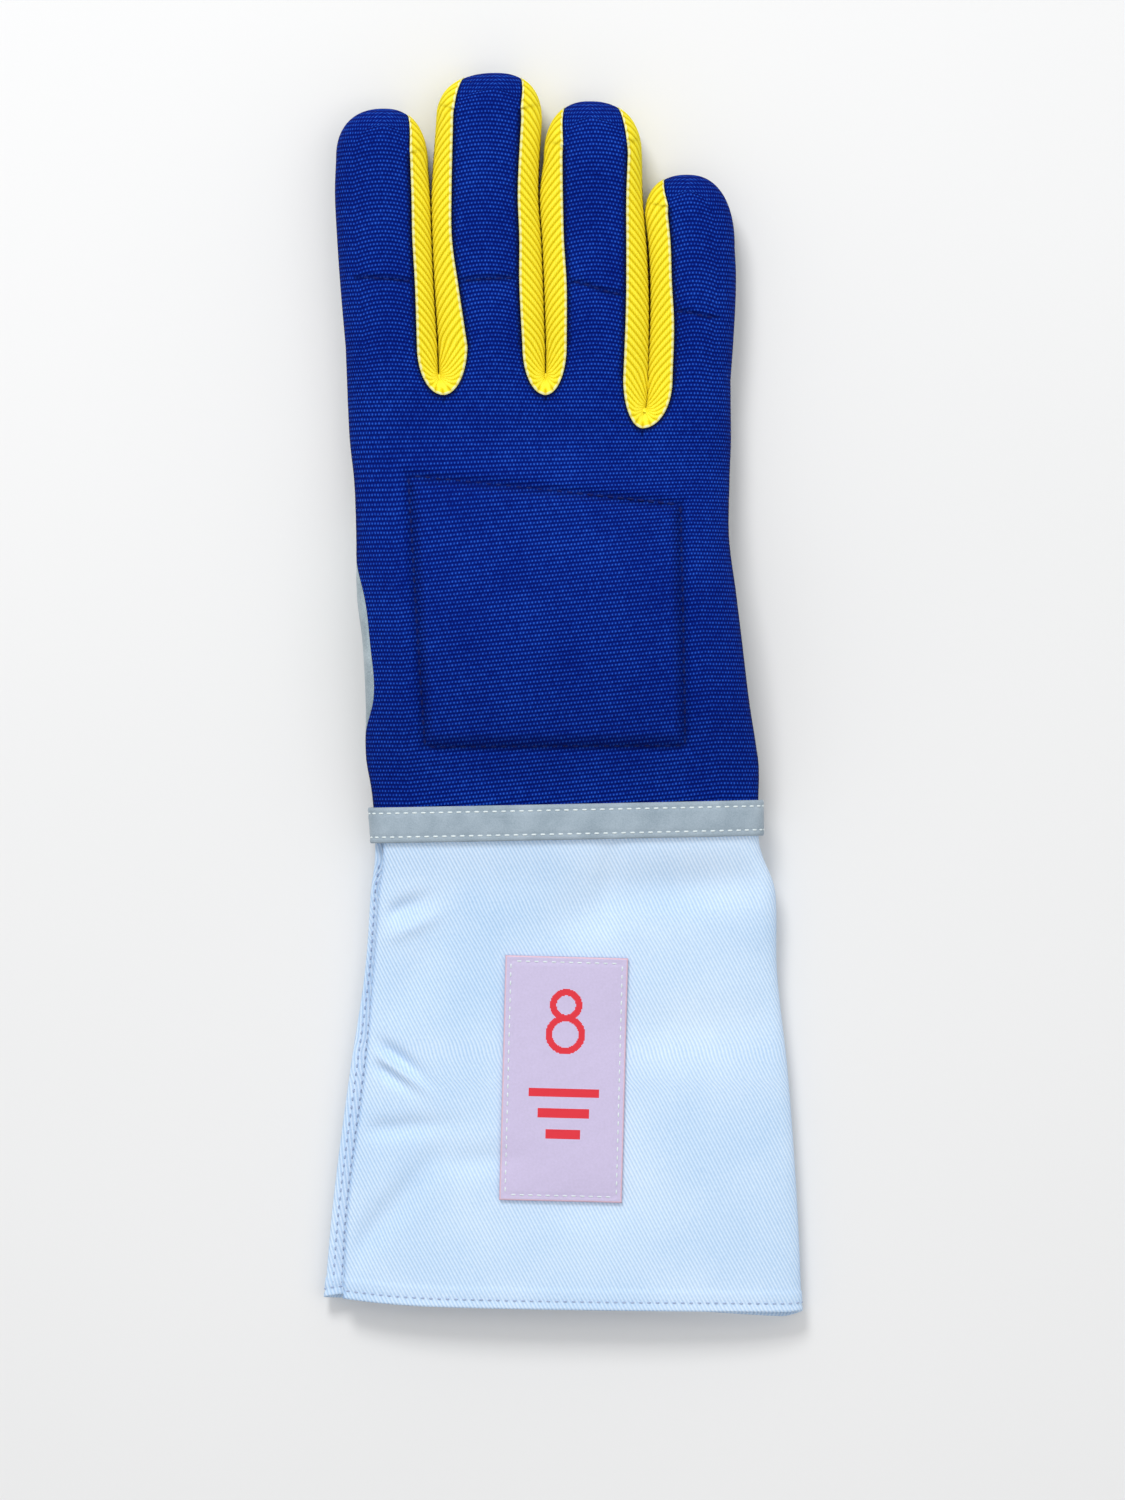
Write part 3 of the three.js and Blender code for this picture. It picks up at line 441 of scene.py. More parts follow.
def weld(nets: Sequence[Net]) -> Surface:
    """Joins nets into one surface, whose neighbours share their points.

    Args:
        nets: the grids to join.

    Returns:
        The surface, without its faces that have no area.
    """
    clouds, shades, triangles, corner_places, start = [], [], [], [], 0
    for net in nets:
        rows, columns = net.points.shape[:2]
        index = np.arange(rows * columns).reshape(rows, columns) + start
        a, b = index[:-1, :-1].ravel(), index[:-1, 1:].ravel()
        c, d = index[1:, 1:].ravel(), index[1:, :-1].ravel()
        faces = np.concatenate([np.stack([a, b, c], 1), np.stack([a, c, d], 1)])
        if net.flipped:
            faces = faces[:, ::-1]
        shade = 0.0 if net.shade is None else net.shade
        clouds.append(net.points.reshape(-1, 3))
        shades.append(np.broadcast_to(shade, (rows, columns)).ravel())
        corner_places.append(net.places.reshape(-1, 2)[faces - start])
        triangles.append(faces)
        start += rows * columns
    cloud, places = np.concatenate(clouds), np.concatenate(corner_places)
    faces = np.concatenate(triangles)
    _, first, same = np.unique(np.round(cloud, 3), axis=0, return_index=True, return_inverse=True)
    faces = same.ravel()[faces]
    whole = (faces[:, 0] != faces[:, 1]) & (faces[:, 1] != faces[:, 2]) & (faces[:, 2] != faces[:, 0])
    return Surface(cloud[first], np.concatenate(shades)[first], faces[whole], places[whole])


def to_frame(points: Array) -> Array:
    """Moves points from over the joint to the frame's place, in metres."""
    return (points + np.array([MIDDLE_X, JOINT_Y, 0.0])) * MM


def make_mesh(name: str, surface: Surface) -> bpy.types.Object:
    """Puts a triangle surface into a new object at the origin.

    Args:
        name: the piece's name.
        surface: the surface, in millimetres over the joint.

    Returns:
        The new object, smooth shaded.
    """
    faces = surface.faces
    mesh = bpy.data.meshes.new(name)
    mesh.vertices.add(len(surface.points))
    mesh.vertices.foreach_set("co", to_frame(surface.points).astype(np.float32).ravel())
    mesh.loops.add(faces.size)
    mesh.loops.foreach_set("vertex_index", faces.astype(np.int32).ravel())
    mesh.polygons.add(len(faces))
    mesh.polygons.foreach_set("loop_start", np.arange(0, faces.size, 3, dtype=np.int32))
    layer = mesh.uv_layers.new(name="cloth")
    layer.data.foreach_set("uv", (surface.places * MM).astype(np.float32).ravel())
    # Each point's painted shade, with its seams' dark line, goes into the shade attribute.
    shade = mesh.attributes.new("shade", "FLOAT", "POINT")
    shade.data.foreach_set("value", surface.shades.astype(np.float32))
    mesh.update(calc_edges=True)
    mesh.validate()
    mesh.polygons.foreach_set("use_smooth", np.ones(len(mesh.polygons), dtype=bool))
    piece = bpy.data.objects.new(name, mesh)
    bpy.context.scene.collection.objects.link(piece)
    return piece


def thicken(piece: bpy.types.Object, wall: float) -> None:
    """Gives a surface a wall on its inner side, with a rim at its edges."""
    solid = piece.modifiers.new("wall", "SOLIDIFY")
    solid.thickness = wall * MM
    solid.offset = -1.0
    solid.use_rim = True
    solid.use_even_offset = False


def settle(piece: bpy.types.Object, slot: Slot, finish: bpy.types.Material, *nodes: str) -> None:
    """Hands a piece to the frame.

    Args:
        piece: the piece.
        slot: the slot of its finish; not used.
        finish: its material.
        nodes: the CAD nodes that it replaces.
    """
    piece.data.materials.clear()
    piece.data.materials.append(finish)
    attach(piece, BODY)
    if nodes:
        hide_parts(*nodes)
    LOG.info("%s: %d faces", piece.name, len(piece.data.polygons))


def net_normals(points: Array) -> Array:
    """The unit normal at each point of a grid, from its neighbours along rows and columns."""
    along = np.gradient(points, axis=0)
    across = np.gradient(points, axis=1)
    normal = np.cross(across, along)
    length = np.linalg.norm(normal, axis=2, keepdims=True)
    return normal / np.maximum(length, 1e-9)


def path_length(points: Array, axis: int) -> Array:
    """The distance walked along one axis of a grid.

    Args:
        points: rows by columns by three.
        axis: 0 along the columns of the grid, 1 along its rows.

    Returns:
        Rows by columns of distances, from 0 at the axis's start.
    """
    steps = np.linalg.norm(np.diff(points, axis=axis), axis=2)
    walked = np.cumsum(steps, axis=axis)
    pad = [(1, 0), (0, 0)] if axis == 0 else [(0, 0), (1, 0)]
    return np.pad(walked, pad)


# Materials

@dataclass(frozen=True)
class Grain:
    """A soft noise in a finish.

    Args:
        cells: how many cells it has to the metre.
        detail: how many finer layers lie on the first.
        weight: how much of it goes into the tone.
    """

    cells: float
    detail: float
    weight: float = 1.0


class Bench:
    """Lays out the nodes of one material."""

    def __init__(self, name: str) -> None:
        """Starts a material that has only its shader."""
        self.material = bpy.data.materials.new(name)
        self.material.use_nodes = True
        self.tree = self.material.node_tree
        self.shader = self.tree.nodes["Principled BSDF"]

    def node(self, kind: str, **settings: object) -> bpy.types.Node:
        """Adds a node and sets its named properties."""
        made = self.tree.nodes.new(kind)
        for key, value in settings.items():
            setattr(made, key, value)
        return made

    def feed(self, target: Socket, source: object) -> None:
        """Links a socket, or sets its value where the source is a number or a colour."""
        if isinstance(source, Socket):
            self.tree.links.new(source, target)
        else:
            target.default_value = source

    def math(self, operation: str, *inputs: object, clamp: bool = False) -> Socket:
        """Adds one step of arithmetic."""
        made = self.node("ShaderNodeMath", operation=operation, use_clamp=clamp)
        for socket, source in zip(made.inputs, inputs):
            self.feed(socket, source)
        return made.outputs[0]

    def wave(self, distance: object, pitch: float = 1.0, operation: str = "SINE") -> Socket:
        """The sine or cosine of a distance, with one full turn to the pitch."""
        return self.math(operation, self.math("MULTIPLY", distance, 2 * math.pi / pitch))

    def arch(self, phase: object) -> Socket:
        """Half a sine wave over every whole step of a phase."""
        part = self.math("FRACT", phase)
        return self.math("SINE", self.math("MULTIPLY", part, math.pi))

    def cloth_place(self) -> tuple[Socket, Socket]:
        """The two places along the piece's own cloth, in millimetres."""
        place = self.node("ShaderNodeUVMap", uv_map="cloth")
        scale = self.node("ShaderNodeVectorMath", operation="SCALE")
        self.feed(scale.inputs[0], place.outputs[0])
        scale.inputs["Scale"].default_value = 1.0 / MM
        split = self.node("ShaderNodeSeparateXYZ")
        self.feed(split.inputs[0], scale.outputs[0])
        return split.outputs[0], split.outputs[1]

    def shade(self) -> Socket:
        """The piece's painted darkness: painted shade in creases, grooves, slits and on turned-down sides,
        and the dark line of its seams.
        """
        return self.node("ShaderNodeAttribute", attribute_name="shade").outputs["Fac"]

    def noise(self, grain: Grain) -> Socket:
        """Soft noise on Object coordinates."""
        coordinates = self.node("ShaderNodeTexCoord")
        texture = self.node("ShaderNodeTexNoise")
        texture.inputs["Scale"].default_value = grain.cells
        texture.inputs["Detail"].default_value = grain.detail
        self.feed(texture.inputs["Vector"], coordinates.outputs["Object"])
        return texture.outputs["Fac"]

    def vary(self, tone: object, grain: Grain) -> tuple[Socket, Socket]:
        """Adds a grain, counted from its middle, to a tone, and gives back the tone and the noise."""
        noise = self.noise(grain)
        return self.math("MULTIPLY_ADD", self.math("SUBTRACT", noise, 0.5), grain.weight, tone), noise

    def ramp(self, factor: object, *stops: tuple[float, Colour]) -> Socket:
        """Turns a factor into a colour between stops."""
        made = self.node("ShaderNodeValToRGB")
        elements = made.color_ramp.elements
        while len(elements) < len(stops):
            elements.new(0.5)
        for element, (position, colour) in zip(elements, stops):
            element.position = position
            element.color = (*colour, 1.0)
        self.feed(made.inputs[0], factor)
        return made.outputs[0]

    def blend(self, factor: object, first: Socket, second: Colour, kind: str = "MIX") -> Socket:
        """Blends a second colour over a first one."""
        made = self.node("ShaderNodeMix", data_type="RGBA", blend_type=kind)
        self.feed(made.inputs["Factor"], factor)
        colours = [socket for socket in made.inputs if socket.type == "RGBA"]
        self.feed(colours[0], first)
        self.feed(colours[1], (*second, 1.0))
        return [socket for socket in made.outputs if socket.type == "RGBA"][0]

    def bump(self, height: object, distance: float, strength: float) -> None:
        """Raises the surface by a height field, in millimetres at full height."""
        made = self.node("ShaderNodeBump")
        made.inputs["Strength"].default_value = strength
        made.inputs["Distance"].default_value = distance * MM
        self.feed(made.inputs["Height"], height)
        self.feed(self.shader.inputs["Normal"], made.outputs[0])

    def surface(
        self, colour: Socket, roughness: float, sheen: float = 0.0, gloss: float = 0.2
    ) -> bpy.types.Material:
        """Sets the shader's colour, roughness, sheen and gloss and gives back the material."""
        self.feed(self.shader.inputs["Base Color"], colour)
        self.feed(self.shader.inputs["Roughness"], roughness)
        self.shader.inputs["Sheen Weight"].default_value = sheen
        self.shader.inputs["Specular IOR Level"].default_value = gloss
        return self.material


@dataclass(frozen=True)
class KnitFinish:
    """Royal blue knit: rows of small beads, each row half a bead on from the last."""

    row_pitch: float = 1.18
    bead_pitch: float = 0.96
    bead_depth: float = 0.34
    patches: Grain = Grain(55.0, 3.0, 0.35)
    loops: Grain = Grain(800.0, 1.0, 0.55)
    fibres: Grain = Grain(2600.0, 2.0, 0.3)
    # seam is the seams' dark navy line, and the same colour is painted as shade in the creases, along the
    # pad's groove and on sides that turn down.
    seam: Colour = (0.0004, 0.002, 0.03)
    dark: Colour = (0.0004, 0.006, 0.13)
    main: Colour = (0.0008, 0.019, 0.25)
    light: Colour = (0.018, 0.1, 0.56)

    def make(self) -> bpy.types.Material:
        """A bead is the arch of the row's phase times a wave along the row."""
        bench = Bench("blue_knit")
        along, up = bench.cloth_place()
        phase = bench.math("DIVIDE", up, self.row_pitch)
        shift = bench.math("MULTIPLY", bench.math("FLOOR", phase), 0.5)
        bead_phase = bench.math("ADD", bench.math("DIVIDE", along, self.bead_pitch), shift)
        wave = bench.wave(bead_phase, operation="COSINE")
        bead = bench.math("MULTIPLY_ADD", wave, self.bead_depth, 1.0 - self.bead_depth)
        height = bench.math("MULTIPLY", bench.arch(phase), bead)
        tone, _ = bench.vary(height, self.patches)
        tone, _ = bench.vary(tone, self.loops)
        tone, fibre = bench.vary(tone, self.fibres)
        colour = bench.ramp(tone, (0.12, self.dark), (0.62, self.main), (1.0, self.light))
        # Painted shade, with the seams' own dark line, blended in from the shade attribute.
        colour = bench.blend(bench.shade(), colour, self.seam)
        bench.bump(bench.math("MULTIPLY_ADD", fibre, 0.2, height), distance=0.42, strength=0.9)
        return bench.surface(colour, roughness=0.95, gloss=0.06)


@dataclass(frozen=True)
class RibFinish:
    """Bright yellow ribs: the ribs are in the shape, and the threads across them in the bump."""

    thread_pitch: float = 0.55
    thread_weight: float = 0.12
    rib_weight: float = 0.85
    border: float = 0.8
    border_width: float = 0.25
    loop_weight: float = 0.8
    fibres: Grain = Grain(2200.0, 2.0, 0.25)
    deep: Colour = (0.6, 0.45, 0.006)
    main: Colour = (0.85, 0.7, 0.014)
    bright: Colour = (0.93, 0.83, 0.06)
    pale: Colour = (0.78, 0.78, 0.4)
    # slit is dark brown painted as shade down the slit where two strips meet.
    slit: Colour = (0.16, 0.08, 0.002)

    def make(self) -> bpy.types.Material:
        """The first place is the distance from the strip's edge, and the second counts ribs."""
        bench = Bench("yellow_ribs")
        down, rib = bench.cloth_place()
        arch = bench.arch(rib)
        wave = bench.wave(down, self.thread_pitch, "COSINE")
        thread = bench.math("MULTIPLY", wave, self.thread_weight)
        tone = bench.math("MULTIPLY_ADD", arch, self.rib_weight, thread)
        tone, fibre = bench.vary(tone, self.fibres)
        colour = bench.ramp(tone, (0.1, self.deep), (0.5, self.main), (0.9, self.bright))
        from_border = bench.math("SUBTRACT", self.border, down)
        edge = bench.math("DIVIDE", from_border, self.border_width, clamp=True)
        loop = bench.math("MULTIPLY_ADD", arch, self.loop_weight, 1.0 - self.loop_weight)
        colour = bench.blend(bench.math("MULTIPLY", edge, loop), colour, self.pale)
        # Painted shade in the slit, blended in from the shade attribute.
        colour = bench.blend(bench.shade(), colour, self.slit)
        bench.bump(bench.math("MULTIPLY_ADD", fibre, 0.3, thread), distance=0.25, strength=0.7)
        return bench.surface(colour, roughness=0.9, gloss=0.1)


@dataclass(frozen=True)
class SuedeFinish:
    """Grey suede with a short nap."""

    name: str = "grey_suede"
    dark: Colour = (0.2, 0.26, 0.3)
    light: Colour = (0.42, 0.5, 0.54)
    clouds: Grain = Grain(140.0, 4.0)
    nap: Grain = Grain(2400.0, 3.0, 0.7)

    def make(self) -> bpy.types.Material:
        """Cloudy noise for the nap's lay and fine noise for its grain."""
        bench = Bench(self.name)
        cloud = bench.noise(self.clouds)
        tone, nap = bench.vary(cloud, self.nap)
        colour = bench.ramp(tone, (0.2, self.dark), (0.75, self.light))
        bench.bump(bench.math("MULTIPLY_ADD", cloud, 0.4, nap), distance=0.2, strength=0.5)
        return bench.surface(colour, roughness=0.95, sheen=0.2)


@dataclass(frozen=True)
class TwillFinish:
    """Bluish white twill: steep fine ridges with a broken thread between them."""

    pitch: float = 0.97
    lean: float = 62.0
    thread_pitch: float = 0.45
    ridge_weight: float = 0.22
    even_tone: float = 0.55
    fibres: Grain = Grain(1500.0, 2.0, 0.35)
    clouds: Grain = Grain(28.0, 2.0, 0.6)
    dark: Colour = (0.35, 0.545, 0.8)
    light: Colour = (0.71, 0.835, 0.99)

    def make(self) -> bpy.types.Material:
        """A ridge is the sine of the distance across the twill line over its pitch."""
        bench = Bench("white_twill")
        across, along = bench.cloth_place()
        lean = math.radians(self.lean)
        over = bench.math("MULTIPLY", across, math.sin(lean) / self.pitch)
        ridge = bench.wave(bench.math("MULTIPLY_ADD", along, math.cos(lean) / self.pitch, over))
        thread = bench.wave(along, self.thread_pitch)
        tone = bench.math("MULTIPLY_ADD", ridge, self.ridge_weight, self.even_tone)
        tone, _ = bench.vary(tone, self.fibres)
        tone, _ = bench.vary(tone, self.clouds)
        colour = bench.ramp(tone, (0.1, self.dark), (0.9, self.light))
        # Painted shade along the flap's free edge, multiplied in from the shade attribute.
        colour = bench.blend(bench.shade(), colour, self.dark, "MULTIPLY")
        bench.bump(bench.math("MULTIPLY_ADD", thread, 0.2, ridge), distance=0.1, strength=0.6)
        return bench.surface(colour, roughness=0.8, sheen=0.08)


@dataclass(frozen=True)
class PlainClothFinish:
    """A close even cloth, such as thread or felt."""

    name: str
    dark: Colour
    light: Colour
    fibres: Grain = Grain(3000.0, 2.0)
    clouds: Grain = Grain(60.0, 2.0, 0.4)

    def make(self) -> bpy.types.Material:
        """Fine noise for the fibres over a soft change of tone."""
        bench = Bench(self.name)
        fibre = bench.noise(self.fibres)
        tone, _ = bench.vary(fibre, self.clouds)
        colour = bench.ramp(tone, (0.3, self.dark), (0.7, self.light))
        bench.bump(fibre, distance=0.12, strength=0.5)
        return bench.surface(colour, roughness=0.8, sheen=0.05)


@dataclass(frozen=True)
class LabelFinish:
    """A pale lilac woven label with a red size numeral and three plain red bars.

    Args:
        ground: the label's own colour, and pale is the same where the weave is lighter.
        weave: the pitch of the weave, on which all marks are drawn.
        rings: the numeral's two rings, each with its middle across and along and its radius.
        stroke: how wide a ring's line is.
        bars: each bar's middle across and along and its width.
    """

    ground: Colour = (0.56, 0.5, 0.7)
    pale: Colour = (0.644, 0.575, 0.805)
    edge: Colour = (0.8, 0.52, 0.6)
    print: Colour = (0.75, 0.012, 0.02)
    weave: float = 0.3
    rings: tuple[tuple[float, float, float], ...] = ((0.0, 21.0, 3.7), (0.0, 12.6, 4.7))
    stroke: float = 1.9
    bars: tuple[tuple[float, float, float], ...] = (
        (0.0, -4.0, 20.0),
        (0.0, -10.0, 15.0),
        (0.0, -16.0, 10.0),
    )
    bar_height: float = 2.6
    rim: float = 0.45
    rim_weight: float = 0.7
    print_weight: float = 0.95
    fibres: Grain = Grain(1500.0, 2.0, 0.5)
    thread_weight: float = 0.1

    def make(self) -> bpy.types.Material:
        """Bars are boxes and the numeral is two rings, read on places snapped to the weave."""
        bench = Bench("lilac_label")
        across, along = bench.cloth_place()
        u = bench.math("SNAP", across, self.weave)
        v = bench.math("SNAP", along, self.weave)

        def within(distance: Socket, limit: float) -> Socket:
            """One where a distance is below a limit, either way."""
            return bench.math("LESS_THAN", bench.math("ABSOLUTE", distance), limit)

        marks: object = 0.0
        for x, y, radius in self.rings:
            dx, dy = bench.math("SUBTRACT", u, x), bench.math("SUBTRACT", v, y)
            square = bench.math("MULTIPLY_ADD", dx, dx, bench.math("MULTIPLY", dy, dy))
            off = bench.math("SUBTRACT", bench.math("SQRT", square), radius)
            marks = bench.math("MAXIMUM", marks, within(off, self.stroke / 2.0))
        for x, y, width in self.bars:
            inside = within(bench.math("SUBTRACT", u, x), width / 2.0)
            level = within(bench.math("SUBTRACT", v, y), self.bar_height / 2.0)
            marks = bench.math("MAXIMUM", marks, bench.math("MULTIPLY", inside, level))
        side = bench.math("SUBTRACT", LABEL_WIDTH / 2.0, bench.math("ABSOLUTE", across))
        end = bench.math("SUBTRACT", LABEL_LENGTH / 2.0, bench.math("ABSOLUTE", along))
        rim = bench.math("LESS_THAN", bench.math("MINIMUM", side, end), self.rim)
        thread = bench.wave(along, self.weave)
        faint = bench.math("MULTIPLY", thread, self.thread_weight)
        tone = bench.math("MULTIPLY_ADD", bench.noise(self.fibres), self.fibres.weight, faint)
        colour = bench.ramp(tone, (0.05, self.ground), (0.5, self.pale))
        colour = bench.blend(bench.math("MULTIPLY", rim, self.rim_weight), colour, self.edge)
        colour = bench.blend(bench.math("MULTIPLY", marks, self.print_weight), colour, self.print)
        bench.bump(thread, distance=0.05, strength=0.6)
        return bench.surface(colour, roughness=0.7)


# Stitches

BEAD_ROWS = 7
BEAD_COLUMNS = 9

# A row of stitches: its path and the cloth's normals along it
Seam = tuple[Array, Array]


@dataclass(frozen=True)
class Stitching:
    """Rows of stitches, each a small bead of thread that sinks at both ends.

    Args:
        pitch: from one stitch to the next.
        length: of one stitch.
        width: of the thread.
        sink: how far a stitch's ends lie below its middle.
        lift: how far its middle line lies above the cloth.
    """

    pitch: float
    length: float
    width: float
    sink: float
    lift: float

    def bead(self) -> Surface:
        """One stitch along the first axis: a superellipse of revolution, bent downwards."""
        along = np.linspace(-1.0, 1.0, BEAD_ROWS)[:, None]
        around = np.linspace(0.0, 2.0 * math.pi, BEAD_COLUMNS)[None, :]
        full = np.sqrt(1.0 - along**4) * self.width / 2.0
        length = along * self.length / 2.0 + 0.0 * around
        height = full * np.sin(around) - self.sink * along**2
        points = np.stack([length, full * np.cos(around), height], -1)
        points[:, -1] = points[:, 0]
        return weld([Net(points, points[..., :2])])

    def spaced(self, path: Array, up: Array) -> tuple[Array, Array, Array]:
        """Spaces stitches evenly along a path.

        Args:
            path: points along the row.
            up: the cloth's normal at each point.

        Returns:
            The stitches' middles, directions and normals.
        """
        steps = np.linalg.norm(np.diff(path, axis=0), axis=1)
        walked = np.concatenate([[0.0], np.cumsum(steps)])
        count = max(int(walked[-1] // self.pitch), 1)
        first = (walked[-1] - (count - 1) * self.pitch) / 2.0
        at = first + self.pitch * np.arange(count)

        def sample(values: Array, places: Array) -> Array:
            """Reads the path's columns at distances along it."""
            return np.stack([np.interp(places, walked, column) for column in values.T], -1)

        reach = self.length / 3.0
        ahead = unit(sample(path, at + reach) - sample(path, at - reach))
        side = unit(np.cross(sample(up, at), ahead))
        return sample(path, at), ahead, np.cross(ahead, side)

    def sew(
        self,
        name: str,
        rows: Sequence[Seam],
        slot: Slot,
        finish: bpy.types.Material,
    ) -> None:
        """Makes all the stitches of some rows as one joined mesh.

        Args:
            name: the piece's name.
            rows: each row's path and the cloth's normals along it.
            slot: the slot of the cloth that is sewn.
            finish: the thread's material.
        """
        parts = [self.spaced(path, up) for path, up in rows]
        middle, ahead, up = (np.concatenate(column)[:, None, :] for column in zip(*parts))
        bead = self.bead()
        x, y, z = (bead.points[None, :, axis, None] for axis in range(3))
        points = middle + x * ahead + y * np.cross(up, ahead) + z * up
        count, size = points.shape[:2]
        faces = bead.faces[None] + (np.arange(count) * size)[:, None, None]
        places = np.tile(bead.places, (count, 1, 1))
        surface = Surface(points.reshape(-1, 3), np.zeros(count * size), faces.reshape(-1, 3), places)
        settle(make_mesh(name, surface), slot, finish)


BACK_STITCHES = Stitching(pitch=2.9, length=1.9, width=0.55, sink=0.25, lift=0.1)
BAND_STITCHES = Stitching(pitch=2.55, length=1.7, width=0.5, sink=0.25, lift=0.1)
CUFF_STITCHES = Stitching(pitch=2.4, length=1.3, width=0.5, sink=0.2, lift=0.1)
LABEL_STITCHES = Stitching(pitch=2.46, length=1.6, width=0.42, sink=0.2, lift=0.12)

# The hem's own stitches lie a little lower than the rest of the cuff's.
HEM_LIFT = 0.08


def off_ground(path: Array) -> Array:
    """The same path, lifted where a thread under the glove would pass below the ground."""
    return np.column_stack([path[:, :2], np.maximum(path[:, 2], THREAD_CLEARANCE)])


def laid_row(x: Array, y: Array, height: Array) -> Seam:
    """A row of stitches that face straight up, at places and heights along its path."""
    path = np.column_stack([x, y, height])
    return path, np.broadcast_to(np.array([0.0, 0.0, 1.0]), path.shape)


# The hand

def is_outer(index: int, side: Side) -> bool:
    """Whether a finger's side lies on the glove's own outer side."""
    return index == (0 if side is Side.THUMB else LAST_FINGER)


@dataclass(frozen=True)
class Edge:
    """One side of a finger's band at many rows: the back's edge and the widest point."""

    back: Array
    wide: Array
    run: Array


@dataclass
class HandShape:
    """The hand's skin as functions of place.

    A row number runs from 0 at the joint through CROTCH_ROW, STRAIGHT_ROW and TIP_ROW to
    END_ROW at the tip's end. Places x lie across and y along, in millimetres, u is the share of
    the way across a finger's back, and index counts the fingers from the thumb's side.
    """

    pad_rise: float = 2.2
    pad_dip: float = 1.5
    pad_edge: float = 3.2
    pad_dip_width: float = 1.76
    thumb_near: float = 0.42
    thumb_far: float = 0.97
    crease_depth: float = 0.9
    crease_width: float = 0.9
    # crease_shade and pad_shade are painted shade, and the seam's shade is partly painted shade.
    crease_shade: float = 0.6
    crease_shade_width: float = 0.81
    crease_end_power: int = 8
    pad_shade: float = 0.38
    pad_shade_width: float = 1.0
    seam_dip: float = 0.7
    seam_width: float = 0.8
    seam_shade_width: float = 0.88
    out_of_reach: float = 4.0
    seams_fade: tuple[float, float] = (3.12, 3.3)
    ripple: float = 0.7
    ripple_waves: int = 9
    ripple_lengths: tuple[float, float] = (16.0, 42.0)
    straight_length: float = 60.0
    run_narrows_from: float = 0.8
    rows_bend_from: float = 0.5
    bow: float = 1.3
    bow_reach: tuple[float, float] = (-6.0, 26.0)
    row_slope: float = math.tan(math.radians(6.0))

    def section(self, y: Array) -> dict[str, Array]:
        """The section of the hand below the fingers.

        Args:
            y: the height over the joint.

        Returns:
            Its sides, half width, middle and top heights and its seam's angle.
        """
        at = np.clip(y, 0.0, PALM_LENGTH) / PALM_LENGTH
        left = HAND.read("left", at) * HAND_WIDTH + pinch(y)
        right = HAND.read("right", at) * HAND_WIDTH - pinch(y)
        joint = 1.0 - smooth(at, 0.0, WRIST_SHARE)
        tall = lerp(HAND_HEIGHT, WRIST_HEIGHT / HAND.columns["top"][0], joint)
        fingers = FINGER_HEIGHT * CROTCH_TO_FINGER / HAND.columns["top"][-1]
        height = lerp(tall, fingers, smooth(at, KNUCKLES_FROM, 1.0))
        return {
            "left": left,
            "right": right,
            "half": (right - left) / 2.0,
            "middle": HAND.read("middle", at) * height,
            "top": HAND.read("top", at) * height,
            "seam": HAND.read("seam", at),
        }

    def pad_inside(self, x: Array, y: Array) -> Array:
        """The distance from a place to the pad's nearest edge, positive inside."""
        corners = pad_plan()
        inside = np.full(np.shape(x), np.inf)
        for (x0, y0), (x1, y1) in zip(corners, np.roll(corners, -1, axis=0)):
            dx, dy = x1 - x0, y1 - y0
            inside = np.minimum(inside, (dx * (y - y0) - dy * (x - x0)) / math.hypot(dx, dy))
        return inside

    def back_height(self, x: Array, y: Array) -> Array:
        """The middle height plus a crown across the hand plus the raised pad."""
        section = self.section(y)
        side = np.minimum(x - section["left"], section["right"] - x) / section["half"]
        rise = (section["top"] - section["middle"]) * crown(side, BODY_ROUND)
        inside = self.pad_inside(x, y)
        raised = self.pad_rise * smooth(inside, 0.0, self.pad_edge)
        return section["middle"] + rise + raised - self.pad_dip * bell(inside, self.pad_dip_width)

    def under_height(self, x: Array, y: Array) -> Array:
        """Nothing on the ground, the thumb's thickness over the thumb and a little at the band."""
        root, aim = thumb_line()
        px, py = x - root[0], y - root[1]
        half = THUMB_WIDTH / 2.0
        forward = np.clip(px * aim[0] + py * aim[1], half, THUMB_LENGTH - half)
        away = np.hypot(px - aim[0] * forward, py - aim[1] * forward) / THUMB_WIDTH
        over_thumb = 1.0 - smooth(away, self.thumb_near, self.thumb_far)
        lift = over_thumb * (THUMB_THICKNESS + LAYER_GAP)
        band = HOLLOW_UNDER_BAND * (1.0 - smooth(np.abs(y), BAND_WIDTH, 2.0 * BAND_WIDTH))
        return np.maximum(lift, band)

    def edge(self, index: int, row: Array, side: Side) -> Edge:
        """One side of a finger's band, from the joint to the fingertip.

        Args:
            index: which finger, from the thumb side.
            row: the row numbers.
            side: which side of the finger.

        Returns:
            The back's edge, the widest point and the run between them.
        """
        finger, sign = FINGERS[index], side.value
        side_name, tip_round = ("left", finger.tip_left) if sign < 0 else ("right", finger.tip_right)
        which = max(index - 1, 0) if sign < 0 else min(index, len(CROTCHES) - 1)
        crotch = CROTCHES[which]
        tip_start = PALM_LENGTH + finger.length - tip_round
        crotch_y, body_y = crotch.y, row * crotch.y
        straight_y = crotch_y + CROTCH_LENGTH

        def outline(column: str, at: Array | float) -> Array:
            """The finger's outline in millimetres."""
            return finger.outline.read(column, at) * HAND_WIDTH

